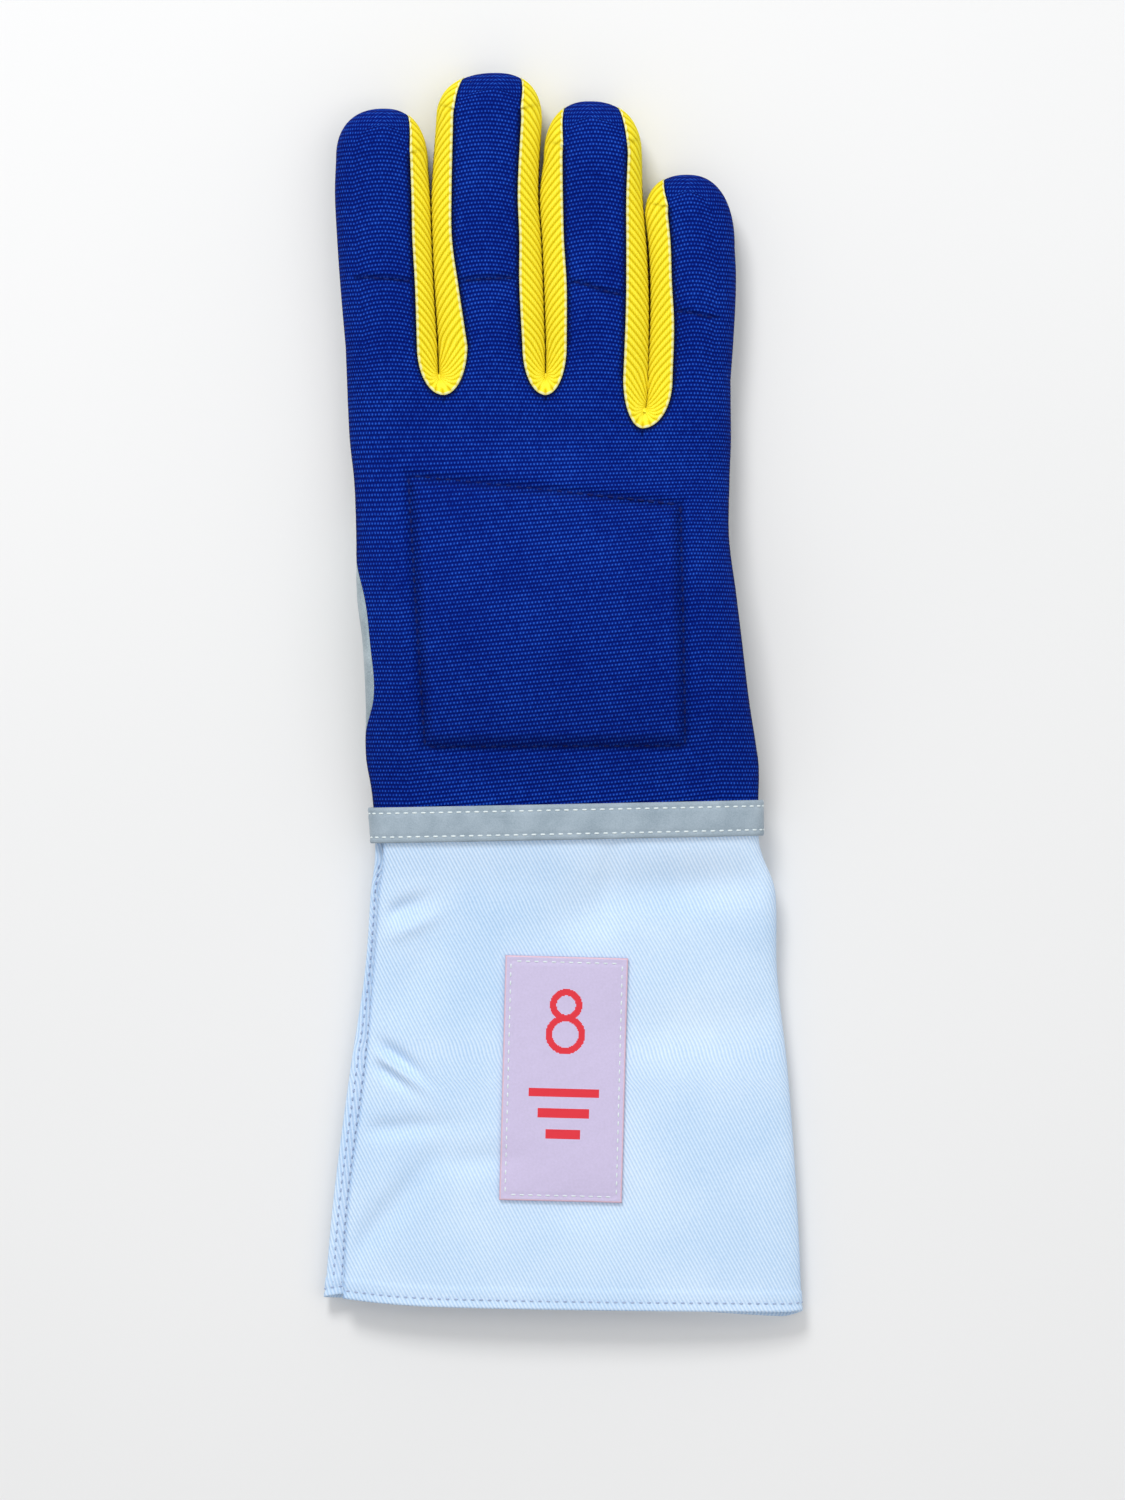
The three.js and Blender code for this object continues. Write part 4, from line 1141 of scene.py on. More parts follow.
        section = self.section(body_y)
        turn = quarter_turn(row, CROTCH_ROW)
        forward = 1.0 - np.cos(turn)
        at = np.clip(row - STRAIGHT_ROW, 0.0, 1.0)
        straight = lerp(straight_y, tip_start, at)
        tip = quarter_turn(row, TIP_ROW)
        inward = np.where(row >= END_ROW, 0.0, np.abs(np.cos(tip)) ** TIP_POWER)
        onward = np.sin(tip) ** TIP_POWER
        run = np.full(row.shape, FINGER_RUN)
        if is_outer(index, side):
            run = lerp(SIDE_RUN, FINGER_RUN, smooth(row, self.run_narrows_from, CROTCH_ROW))
            at_crotch = float(self.section(np.array([PALM_LENGTH]))[side_name][0])
            wide_1, wide_1y = section[side_name], body_y
            back_1, back_1y = wide_1 - sign * run, body_y
            wide_2 = lerp(at_crotch, outline(side_name, 0.0), forward)
            wide_2y = crotch_y + CROTCH_LENGTH * forward
            back_2, back_2y = wide_2 - sign * FINGER_RUN, wide_2y
        else:
            slit_x, slit_y = crotch.slit * HAND_WIDTH, crotch_y + SLIT_ABOVE_CROTCH
            wide_1, wide_1y = slit_x, slit_y
            back_1 = lerp(BORDERS_AT_JOINT[which], crotch.across, row) * HAND_WIDTH
            back_1y = body_y
            wide_2 = lerp(slit_x, outline(side_name, 0.0), np.sin(turn))
            wide_2y = lerp(slit_y, straight_y, forward)
            back_2 = lerp(crotch.across * HAND_WIDTH, outline(f"back_{side_name}", 0.0), np.sin(turn))
            back_2y = crotch_y + CROTCH_LENGTH * forward
        parts = [row <= CROTCH_ROW, row <= STRAIGHT_ROW, row <= TIP_ROW]

        def pick(first: Array, second: Array, third: Array, fourth: Array) -> Array:
            """Chooses each row's own part of the outline."""
            return np.select(parts, [first + 0 * row, second + 0 * row, third + 0 * row], fourth)

        def across(first: Array, second: Array, column: str) -> Array:
            """The places across, which end on the finger's outline and close in at its tip."""
            closing = lerp(finger.tip * HAND_WIDTH, outline(column, 1.0), inward)
            return pick(first, second, outline(column, at), closing)

        wide_y = pick(wide_1y, wide_2y, straight, tip_start + tip_round * onward)
        back_y = pick(back_1y, back_2y, straight, tip_start + (tip_round - FINGER_RUN) * onward)
        wide = np.stack([across(wide_1, wide_2, side_name), wide_y], -1)
        back = np.stack([across(back_1, back_2, f"back_{side_name}"), back_y], -1)
        return Edge(back, wide, np.where(row <= CROTCH_ROW, run, FINGER_RUN))

    def finger_share(self, row: Array) -> Array:
        """How far a row has changed from the hand's section, 0, to a finger's, 1."""
        body = FINGER_AT_CROTCH * smooth(row, FINGERS_FROM, CROTCH_ROW)
        forward = 1.0 - np.cos(quarter_turn(row, CROTCH_ROW))
        return np.where(row > CROTCH_ROW, lerp(FINGER_AT_CROTCH, 1.0, forward), body)

    def back_plan(self, index: int, row: Array, u: Array) -> tuple[Array, Array]:
        """The place in plan at a row and a share across the finger's back.

        Where one side of a finger begins lower than the other, its rows bend into level ends.

        Args:
            index: which finger, from the thumb side.
            row: the row numbers.
            u: the share of the way from the back's left edge to its right one.

        Returns:
            The places across and along.
        """
        left = self.edge(index, row, Side.THUMB).back
        right = self.edge(index, row, Side.LITTLE).back
        bent = lerp(u, smooth(u, 0.0, 1.0), smooth(row, self.rows_bend_from, CROTCH_ROW))
        return lerp(left[..., 0], right[..., 0], u), lerp(left[..., 1], right[..., 1], bent)

    def crease(self, index: int, u: Array) -> Array:
        """The row of the stitched crease across a finger, at a share across its back."""
        return STRAIGHT_ROW + lerp(FINGERS[index].crease[0], FINGERS[index].crease[1], u)

    def from_seam(self, index: int, row: Array, x: Array, y: Array) -> Array:
        """How far a place on a back lies from the seam with a ribbed strip.

        Below a crotch's top the seam is half an ellipse, and above it the back's own edge.

        Args:
            index: which finger, from the thumb side.
            row: the row numbers.
            x: the places across.
            y: the places along.

        Returns:
            The distances, large past the rows where the seam leaves the back's edge.
        """
        away = np.full(np.shape(x), np.inf)
        for side in Side:
            if is_outer(index, side):
                continue
            crotch = CROTCHES[index - 1 if side is Side.THUMB else index]
            middle, top = crotch.across * HAND_WIDTH, crotch.y + CROTCH_LENGTH
            column = "back_left" if side is Side.THUMB else "back_right"
            half = abs(float(FINGERS[index].outline.read(column, 0.0)) * HAND_WIDTH - middle)
            round_end = np.hypot((x - middle) / half, (top - y) / CROTCH_LENGTH) - 1.0
            below = round_end * (half + CROTCH_LENGTH) / 2.0
            above = np.abs(x - self.edge(index, row, side).back[..., 0])
            away = np.minimum(away, np.where(y < top, below, above))
        return away + self.out_of_reach * smooth(row, *self.seams_fade)

    def band_height(self, index: int, row: Array, u: Array, x: Array, y: Array) -> Array:
        """The back's height: the hand's crown eased into each finger's own crown.

        Creases and seams are bells cut into it, and the cloth's slow ripples are added.

        Args:
            index: which finger, from the thumb side.
            row: the row numbers.
            u: the share of the way across the back.
            x: the places across.
            y: the places along.

        Returns:
            The heights.
        """
        tip = np.sin(quarter_turn(row, TIP_ROW))
        bulge = (1.0 - np.abs(2.0 * u - 1.0) ** FINGER_ROUND) * (1.0 - tip**FINGER_ROUND)
        thick = (FINGER_HEIGHT - FINGER_MIDDLE) * (FINGER_EDGE + (1.0 - FINGER_EDGE) * bulge)
        body = self.back_height(x, np.minimum(y, PALM_LENGTH))
        plain = lerp(body, FINGER_MIDDLE + thick, self.finger_share(row))
        across = 1.0 - np.abs(2.0 * u - 1.0) ** self.crease_end_power
        away = (row - self.crease(index, u)) * self.straight_length
        sunk = self.crease_depth * bell(away, self.crease_width) * across
        seam = self.seam_dip * bell(self.from_seam(index, row, x, y), self.seam_width)
        return plain - sunk - seam + self.ripple * self.ripples(x, y)

    def shade(self, index: int, row: Array, u: Array, x: Array, y: Array) -> Array:
        """How dark the back is painted: along its seams a dark line, partly the seam's own and partly
        painted shade in its dip, and painted shade in its creases and along the pad's groove.
        """
        seam = bell(self.from_seam(index, row, x, y), self.seam_shade_width)
        away = (row - self.crease(index, u)) * self.straight_length
        crease = self.crease_shade * bell(away, self.crease_shade_width)
        pad = self.pad_shade * bell(self.pad_inside(x, y), self.pad_shade_width)
        return np.maximum(np.maximum(seam, crease), pad)

    def top(self, x: Array, y: Array) -> Array:
        """The height of the back at places on the hand's body, below the crotches."""
        row, section = y / PALM_LENGTH, self.section(y)
        borders = [section["left"] + SIDE_RUN]
        for low, crotch in zip(BORDERS_AT_JOINT, CROTCHES):
            borders.append(lerp(low, crotch.across, row) * HAND_WIDTH)
        borders.append(section["right"] - SIDE_RUN)
        height = np.zeros(x.shape)
        for index in range(len(FINGERS)):
            u = (x - borders[index]) / (borders[index + 1] - borders[index])
            band = self.band_height(index, row, np.clip(u, 0.0, 1.0), x, y)
            height = np.where((u >= 0.0) & (u <= 1.0), band, height)
        return height

    def cloth_row(self, u: Array, x: Array, y: Array) -> Array:
        """How far up the knit a place lies: rows slope across the hand and bow on a finger."""
        on_finger = smooth(y - PALM_LENGTH, *self.bow_reach)
        slope = self.row_slope * x * (1.0 - smooth(y, KNUCKLES_FROM * PALM_LENGTH, PALM_LENGTH))
        return y - slope + self.bow * (2.0 * u - 1.0) ** 2 * on_finger

    def ripples(self, x: Array, y: Array) -> Array:
        """Slow unevenness of stretched cloth: a sum of a few long seeded waves."""
        rng = np.random.default_rng(SEED)
        total = np.zeros(np.shape(x))
        for _ in range(self.ripple_waves):
            turn = rng.uniform(0.0, math.pi)
            length = rng.uniform(*self.ripple_lengths)
            phase = rng.uniform(0.0, 2.0 * math.pi)
            along = x * math.cos(turn) + y * math.sin(turn)
            total += np.sin(2.0 * math.pi * along / length + phase)
        return total / self.ripple_waves

    def crown_net(self, index: int, rows: Array, columns: int, underside: bool = False) -> Net:
        """The back or the palm of one finger's band, from the joint to the tip.

        The point at row r and share u lies u of the way between the two edges of the back, at
        the band's height, or on the underside at the ground's.

        Args:
            index: which finger, from the thumb side.
            rows: the row numbers.
            columns: how many columns there are.
            underside: whether it is the palm's side.

        Returns:
            The net.
        """
        row, share = np.meshgrid(rows, np.linspace(0.0, 1.0, columns + 1), indexing="ij")
        x, y = self.back_plan(index, row, share)
        if underside:
            points = np.stack([x, y, self.under_height(x, y)], -1)
            return Net(points, np.stack([x, y], -1), flipped=True)
        points = np.stack([x, y, self.band_height(index, row, share, x, y)], -1)
        places = np.stack([x, self.cloth_row(share, x, y)], -1)
        return Net(points, places, shade=self.shade(index, row, share, x, y))

    def side_point(self, index: int, rows: Array, side: Side, degrees: Array) -> Array:
        """The skin's side at stations by angles.

        The angle is 90 at the back's edge, 0 at the widest point and -90 on the ground. The
        place goes inwards by one less the angle's cosine, and the height follows the crown.

        Args:
            index: which finger.
            rows: the row numbers of the stations.
            side: which side of the finger.
            degrees: stations by columns of angles.

        Returns:
            Stations by columns of points.
        """
        edge = self.edge(index, rows, side)
        share = self.finger_share(rows)
        section = self.section(np.minimum(edge.back[:, 1], PALM_LENGTH))
        middle = lerp(section["middle"], FINGER_MIDDLE, share)
        u = np.full(rows.shape, 0.0 if side is Side.THUMB else 1.0)
        top = self.band_height(index, rows, u, edge.back[:, 0], edge.back[:, 1])
        ground = self.under_height(edge.back[:, 0], edge.back[:, 1])
        half = lerp(section["half"], FINGER_HALF_WIDTH, share)
        inward = 1.0 - np.cos(np.radians(np.abs(degrees)))
        x = lerp(edge.wide[:, None, 0], edge.back[:, None, 0], inward)
        y = lerp(edge.wide[:, None, 1], edge.back[:, None, 1], inward)
        full = crown(edge.run / half, BODY_ROUND)[:, None]
        rise = crown(inward * (edge.run / half)[:, None], BODY_ROUND) / full
        upper = lerp(middle[:, None], top[:, None], rise)
        lower = lerp(middle[:, None], ground[:, None], crown(inward, BODY_ROUND))
        return np.stack([x, y, np.where(degrees < 0.0, lower, upper)], -1)


@dataclass(frozen=True)
class Station:
    """A run of rows along one side of a finger, in the order of the glove's outline."""

    index: int
    side: Side
    rows: Array


@dataclass(frozen=True)
class Ribs:
    """The form of the strips' ribs, in millimetres. A pair says where a change goes on.

    Args:
        pitch: from one rib to the next.
        height: how high a rib stands.
        power: the power of a ridge's sine, below one for a fuller round.
        lean: how far a rib runs along the strip for each millimetre down it.
        lean_starts: where it starts to lean, from the crotch.
        steep: how many times its lean it has near the crotch.
        steep_ends: where that ends, from the crotch.
        border: the width of the rolled edge.
        border_rise: how far the rolled edge stands up.
        border_share: the share of its height that a rib has at the edge.
        sunk: how far the strip lies below the skin between its ribs.
        flat: the share of their height at which the ribs run together in the crotch.
        flat_share: how far they do so.
        flat_colour_share: how far their colour does so.
        flat_ends: where that ends, from the crotch.
        flat_starts: where it starts, down the strip.
        slit_upper: the angles over which the slit's shade begins, in degrees.
        slit_lower: the angles over which it ends, in degrees.
        slit_starts: where the shade starts, from the crotch.
        slit_end_row: the row from which it fades towards the fingertip.
        end_rows: how many rows the ribs take to sink in at both ends.
    """

    pitch: float = 2.4
    height: float = 0.45
    power: float = 0.7
    lean: float = 1.0
    lean_starts: tuple[float, float] = (2.0, 7.0)
    steep: float = 1.7
    steep_ends: tuple[float, float] = (8.0, 20.0)
    border: float = 0.9
    border_rise: float = 0.3
    border_share: float = 0.4
    sunk: float = 0.25
    flat: float = 0.7
    flat_share: float = 0.8
    flat_colour_share: float = 0.85
    flat_ends: tuple[float, float] = (4.0, 10.0)
    flat_starts: tuple[float, float] = (1.6, 3.6)
    slit_upper: tuple[float, float] = (8.0, 19.0)
    slit_lower: tuple[float, float] = (-14.0, -4.0)
    slit_starts: tuple[float, float] = (2.0, 4.5)
    slit_end_row: float = 2.82
    end_rows: float = 12.0


@dataclass
class Hand:
    """The knitted back, the ribbed strips, the suede palm, the thumb and the pad inside."""

    shape: HandShape = field(default_factory=HandShape)
    back_step: float = 0.8
    back_columns: int = 30
    back_side_columns: int = 16
    palm_step: float = 2.2
    palm_columns: int = 10
    part_lengths: tuple[float, ...] = (PALM_LENGTH, 14.0, 62.0, 20.0)
    # outline_shade is painted shade on the sides where they turn down, and strip_shade_width sets the dark
    # line, partly painted shade, where a strip begins.
    outline_shade: float = 0.75
    outline_angles: tuple[float, float] = (2.0, 24.0)
    seam_shade_above: float = 80.0
    strip_shade_width: float = 0.8
    ribs: Ribs = Ribs()
    strip_steps: tuple[int, int, int] = (45, 204, 61)
    strip_end_row: float = 3.9
    strip_columns: int = 34
    pad_inset: float = 0.09
    pad_round: float = 0.08
    pad_steps: int = 30
    pad_half: float = 1.4
    thumb_rings: int = 60
    thumb_columns: int = 64
    pad_row_points: int = 120
    crease_reach: tuple[float, float] = (0.04, 0.96)
    crease_row_points: int = 60

    def rows(self, step: float) -> Array:
        """Row numbers, so that rows lie about a step apart in each part of the hand."""
        knots = (0.0, CROTCH_ROW, STRAIGHT_ROW, TIP_ROW, END_ROW)
        return spread(knots, [round(length / step) for length in self.part_lengths])

    def runs(self, rows: Array) -> list[Station]:
        """Both sides of every finger, each from its lowest row to the tip."""
        runs = []
        for index in range(len(FINGERS)):
            for side in Side:
                keep = rows if is_outer(index, side) else rows[rows >= CROTCH_ROW]
                runs.append(Station(index, side, keep))
        return runs

    def seam_angle(self, station: Station) -> Array:
        """The angle at which the back or a strip meets the palm."""
        plain = np.full(station.rows.shape, SEAM_ANGLE)
        if station.index != 0 or station.side is not Side.THUMB:
            return plain
        wavy = self.shape.section(station.rows * PALM_LENGTH)["seam"]
        return np.where(station.rows <= CROTCH_ROW, wavy, plain)

    def strip_angle(self, station: Station) -> Array:
        """The angle at which the back ends and a strip between two fingers begins.

        The strip's angle is the arc cosine of the square of how far the tip has turned.
        """
        if is_outer(station.index, station.side):
            return self.seam_angle(station)
        tip = np.degrees(quarter_turn(station.rows, TIP_ROW))
        away = np.clip((tip - STRIP_LEAVES) / (STRIP_MEETS - STRIP_LEAVES), 0.0, 1.0)
        return np.degrees(np.arccos(away**2)) + SEAM_ANGLE * smooth(tip, STRIP_MEETS, STRIP_END)

    def side_net(self, station: Station, start: Array, end: Array, columns: int) -> Net:
        """The skin's side between two angles along a run of rows.

        Args:
            station: the run.
            start: the angle of each row's first column.
            end: the angle of each row's last column.
            columns: how many columns there are.

        Returns:
            The net, with the cloth's rows carried on from the back's edge.
        """
        share = np.linspace(0.0, 1.0, columns + 1)[None, :]
        degrees = lerp(start[:, None], end[:, None], share)
        points = self.shape.side_point(station.index, station.rows, station.side, degrees)
        walked = path_length(points, 1)
        u = np.full(station.rows.shape, 0.0 if station.side is Side.THUMB else 1.0)
        x, y = points[:, 0, 0], points[:, 0, 1]
        along = x[:, None] + station.side.value * walked
        up = self.shape.cloth_row(u, x, y)[:, None] + points[..., 1] - y[:, None]
        # Painted shade on the sides as they turn down past the widest point; near the top the back's own
        # painted shade carries on, and a dark line, partly painted shade, runs where a strip begins.
        outline = self.outline_shade * (1.0 - smooth(degrees, *self.outline_angles))
        at_seam = self.shape.shade(station.index, station.rows, u, x, y)[:, None]
        outer = is_outer(station.index, station.side)
        at_strip = 0.0 if outer else bell(walked[:, -1:] - walked, self.strip_shade_width)
        at_back = at_seam * (degrees > self.seam_shade_above)
        shade = np.maximum(np.maximum(outline, at_back), at_strip)
        return Net(points, np.stack([along, up], -1), station.side is Side.THUMB, shade)

    def build_back(self, finish: bpy.types.Material) -> None:
        """The blue panel: four crowns and the sides that wrap over the outline and the tips."""
        rows, columns = self.rows(self.back_step), self.back_columns
        nets = [self.shape.crown_net(index, rows, columns) for index in range(len(FINGERS))]
        for run in self.runs(rows):
            if not is_outer(run.index, run.side):
                run = Station(run.index, run.side, run.rows[run.rows >= TIP_ROW])
            start = np.full(run.rows.shape, 90.0)
            nets.append(self.side_net(run, start, self.strip_angle(run), self.back_side_columns))
        piece = make_mesh("knitted_back", weld(nets))
        thicken(piece, KNIT_WALL)
        settle(piece, Slot.KNIT, finish, "back_panel")

    def build_palm(self, finish: bpy.types.Material) -> None:
        """The suede palm and the fronts of the fingers, up to the seam."""
        rows, columns = self.rows(self.palm_step), self.palm_columns
        nets = [self.shape.crown_net(index, rows, columns, True) for index in range(len(FINGERS))]
        for run in self.runs(rows):
            end = np.full(run.rows.shape, -90.0)
            nets.append(self.side_net(run, self.seam_angle(run), end, columns))
        piece = make_mesh("suede_palm", weld(nets))
        thicken(piece, SUEDE_WALL)
        settle(piece, Slot.SUEDE, finish, "palm_panel")

    def build_strip(self, which: int, finish: bpy.types.Material) -> None:
        """One ribbed strip: down a finger's side, round the crotch and up the next finger.

        Each point moves out along the skin's normal by a rounded ridge. The ridge's phase is
        the distance from the crotch along the strip plus the distance down it times the lean,
        over the pitch, so the ribs slant from the edge, most just above the crotch, and stand
        straight and flatter in the crotch itself. The edge is rolled.

        Args:
            which: the crotch, from the thumb's side.
            finish: the ribs' material.
        """
        ribs = self.ribs
        knots = (CROTCH_ROW, STRAIGHT_ROW, TIP_ROW, self.strip_end_row)
        up = spread(knots, self.strip_steps)
        runs = (Station(which, Side.LITTLE, up[::-1]), Station(which + 1, Side.THUMB, up[1:]))
        share = np.linspace(0.0, 1.0, self.strip_columns + 1)[None, :]
        parts, degrees = [], []
        for run in runs:
            start, end = self.strip_angle(run), self.seam_angle(run)
            degrees.append(lerp(start[:, None], end[:, None], share))
            parts.append(self.shape.side_point(run.index, run.rows, run.side, degrees[-1]))
        points, turned = np.concatenate(parts), np.concatenate(degrees)
        rows = np.concatenate([run.rows for run in runs])[:, None]
        along, down = path_length(points, 0)[:, 1], path_length(points, 1)
        from_crotch = np.abs(along - along[len(up) - 1])[:, None]

        # Painted shade down the slit where the strips turn under, faded at the crotch and towards the tip.
        painted_slit_shade = (1.0 - smooth(turned, *ribs.slit_upper)) * smooth(turned, *ribs.slit_lower)
        painted_slit_shade *= smooth(from_crotch, *ribs.slit_starts)
        painted_slit_shade *= 1.0 - smooth(rows, ribs.slit_end_row, TIP_ROW)
        flat = (1.0 - smooth(from_crotch, *ribs.flat_ends)) * smooth(down, *ribs.flat_starts)
        lean = ribs.lean * lerp(ribs.steep, 1.0, smooth(from_crotch, *ribs.steep_ends))
        lean *= smooth(from_crotch, *ribs.lean_starts)
        phase = (from_crotch + lean * np.maximum(down - ribs.border, 0.0)) / ribs.pitch
        ridge = np.abs(np.sin(math.pi * phase)) ** ribs.power
        ridge = lerp(ridge, ribs.flat, ribs.flat_share * flat)
        ridge *= lerp(ribs.border_share, 1.0, smooth(down, 0.0, ribs.border))
        rolled = 1.0 - np.clip(2.0 * down / ribs.border - 1.0, -1.0, 1.0) ** 2
        lift = ridge * ribs.height + ribs.border_rise * rolled - ribs.sunk
        from_end = np.minimum(np.arange(len(points)), np.arange(len(points))[::-1])
        lift *= np.clip(from_end / ribs.end_rows, 0.0, 1.0)[:, None]
        moved = points - net_normals(points) * lift[..., None]

        between_ribs = np.floor(phase) + 0.5
        rib_number = lerp(phase, between_ribs, ribs.flat_colour_share * flat)
        places = np.stack([down, rib_number], -1)
        net = Net(moved, places, flipped=True, shade=painted_slit_shade)
        piece = make_mesh(f"ribbed_strip_{which + 1}", weld([net]))
        thicken(piece, RIB_WALL)
        nodes = ("fourchette_index_middle", "fourchette_middle_ring", "fourchette_ring_little")
        settle(piece, Slot.RIBS, finish, nodes[which])

    def build_pad(self, finish: bpy.types.Material) -> None:
        """The felt pad inside, a crowned closed form just below the raised back."""
        across = np.linspace(self.pad_inset, 1.0 - self.pad_inset, self.pad_steps)
        u, v = across[None, :], across[:, None]
        corners = pad_plan()
        low = lerp(corners[0], corners[1], u[..., None])
        high = lerp(corners[3], corners[2], u[..., None])
        plan = lerp(low, high, v[..., None])
        x, y = plan[..., 0], plan[..., 1]
        edge = np.minimum(np.minimum(u, 1.0 - u), np.minimum(v, 1.0 - v)) - self.pad_inset
        full = self.pad_half * crown(np.broadcast_to(edge / self.pad_round, x.shape), FINGER_ROUND)
        below_back = KNIT_WALL + 3.0 * LAYER_GAP + PAD_WALL / 2.0
        centre = self.shape.back_height(x, y) - below_back
        top = np.stack([x, y, centre + full], -1)
        bottom = np.stack([x, y, centre - full], -1)
        piece = make_mesh("felt_pad", weld([Net(top, plan), Net(bottom, plan, flipped=True)]))
        settle(piece, Slot.PADDING, finish, "back_pad")

    def build_thumb(self, finish: bpy.types.Material) -> None:
        """The thumb's sheath, a flattened hollow pod that lies under the palm.

        A ring is a superellipse, and its size along the thumb is one less the cosine's power.
        """
        root, aim = thumb_line()
        beside = np.array([-aim[1], aim[0]])
        turn = np.linspace(0.0, math.pi, self.thumb_rings)[:, None]
        angle = np.linspace(0.0, 2.0 * math.pi, self.thumb_columns + 1)[None, :]
        forward = THUMB_LENGTH / 2.0 * (1.0 - np.cos(turn))
        full = np.maximum(1.0 - np.abs(np.cos(turn)) ** THUMB_END_POWER, 0.0)
        full **= 1.0 / THUMB_END_ROUND
        wide = full * powered(np.cos(angle), THUMB_SIDE_POWER) * THUMB_WIDTH / 2.0
        tall = full * powered(np.sin(angle), THUMB_HEIGHT_POWER) * THUMB_THICKNESS / 2.0
        x = root[0] + aim[0] * forward + beside[0] * wide
        y = root[1] + aim[1] * forward + beside[1] * wide
        points = np.stack([x, y, THUMB_THICKNESS / 2.0 + tall], -1)
        points[:, -1] = points[:, 0]
        points[0], points[-1] = points[0, :1], points[-1, :1]
        piece = make_mesh("thumb_sheath_cover", weld([Net(points, points[..., :2])]))
        settle(piece, Slot.SUEDE, finish, "thumb_sheath")

    def pad_rows(self) -> list[Seam]:
        """The four sides of the pad's stitched edge, laid on the back."""
        corners, rows = pad_plan(), []
        for start, end in zip(corners, np.roll(corners, -1, axis=0)):
            x, y = lerp(start, end, np.linspace(0.0, 1.0, self.pad_row_points)[:, None]).T
            rows.append(laid_row(x, y, self.shape.top(x, y) + BACK_STITCHES.lift))
        return rows

    def crease_rows(self) -> list[Seam]:
        """The stitched creases across the fingers' backs."""
        rows = []
        u = np.linspace(*self.crease_reach, self.crease_row_points)
        for index in range(len(FINGERS)):
            row = self.shape.crease(index, u)
            x, y = self.shape.back_plan(index, row, u)
            height = self.shape.band_height(index, row, u, x, y)
            rows.append(laid_row(x, y, height + BACK_STITCHES.lift))
        return rows

    def build(self, finishes: "Finishes") -> None:
        """Makes every piece of the hand."""
        self.build_back(finishes.knit)
        for which in range(len(CROTCHES)):
            self.build_strip(which, finishes.ribs)
        self.build_palm(finishes.suede)
        self.build_pad(finishes.felt)
        self.build_thumb(finishes.suede)
        rows = self.pad_rows() + self.crease_rows()
        BACK_STITCHES.sew("blue_stitches", rows, Slot.KNIT, finishes.blue_thread)


# The cuff

# Sections of the cuff at shares of CUFF_LENGTH below the joint: the sides and the flap's edge
# as shares of HAND_WIDTH, and the heights of the widest point and the top as shares of
# CUFF_HEIGHT, which the wrist's own height takes up at the joint
CUFF = Table(
    along=(0.0, 0.04, 0.125, 0.3, 0.505, 0.78, 1.0),
    columns={
        "left": (-0.496, -0.496, -0.5, -0.516, -0.555, -0.6, -0.624),
        "flap": (-0.474, -0.474, -0.478, -0.494, -0.516, -0.56, -0.573),
        "right": (0.516, 0.52, 0.552, 0.558, 0.586, 0.611, 0.623),
        "middle": (0.863, 0.8, 0.62, 0.5, 0.46, 0.43, 0.4),
        "top": (1.615, 1.54, 1.34, 1.15, 1.06, 1.0, 0.95),
    },
)

# How far the cuff reaches, as a share of CUFF_LENGTH, on the way round from the flap's edge
CUFF_ENDS = Table(
    along=(0.0, 0.12, 0.44, 0.52, 0.57, 0.7, 1.0),
    columns={"reach": (0.972, 0.988, 1.0, 1.0, 1.014, 0.99, 0.961)},
)


@dataclass(frozen=True)
class Fold:
    """A hollow or, where deep is negative, a ridge in the cuff's upper layer.

    Args:
        across: its middle, as a share of HAND_WIDTH.
        along: its middle, as a share of CUFF_LENGTH below the joint.
        turn: the angle of its line in degrees.
        long: how far it runs along its line, in millimetres.
        wide: how far it runs beside its line, in millimetres.
        deep: its depth, before the cuff's own fold_depth.
    """

    across: float
    along: float
    turn: float
    long: float
    wide: float
    deep: float


CUFF_FOLDS = (
    Fold(0.36, 0.12, 4.0, 22.0, 7.2, 1.7),
    Fold(0.06, 0.18, 30.0, 14.0, 7.8, 1.2),
    Fold(-0.42, 0.17, 25.0, 8.0, 2.6, 1.5),
    Fold(-0.40, 0.21, 25.0, 9.0, 2.2, -0.7),
    Fold(-0.43, 0.475, -38.0, 7.5, 2.2, 1.9),
    Fold(-0.455, 0.51, -35.0, 7.0, 1.8, 1.4),
    Fold(-0.43, 0.498, -36.0, 8.0, 1.6, -1.0),
    Fold(-0.43, 0.62, 5.0, 14.0, 3.0, 1.1),
    Fold(-0.22, 0.685, 4.0, 12.0, 4.0, 0.8),
    Fold(0.34, 0.42, 3.0, 28.0, 9.0, 1.0),
    Fold(-0.46, 0.8, 50.0, 22.0, 4.0, 1.4),
    Fold(0.06, 0.775, 4.0, 14.0, 6.0, 0.7),
    Fold(-0.40, 0.32, 60.0, 18.0, 5.0, 0.6),
    Fold(0.12, 0.10, 86.0, 10.0, 3.4, 0.7),
)


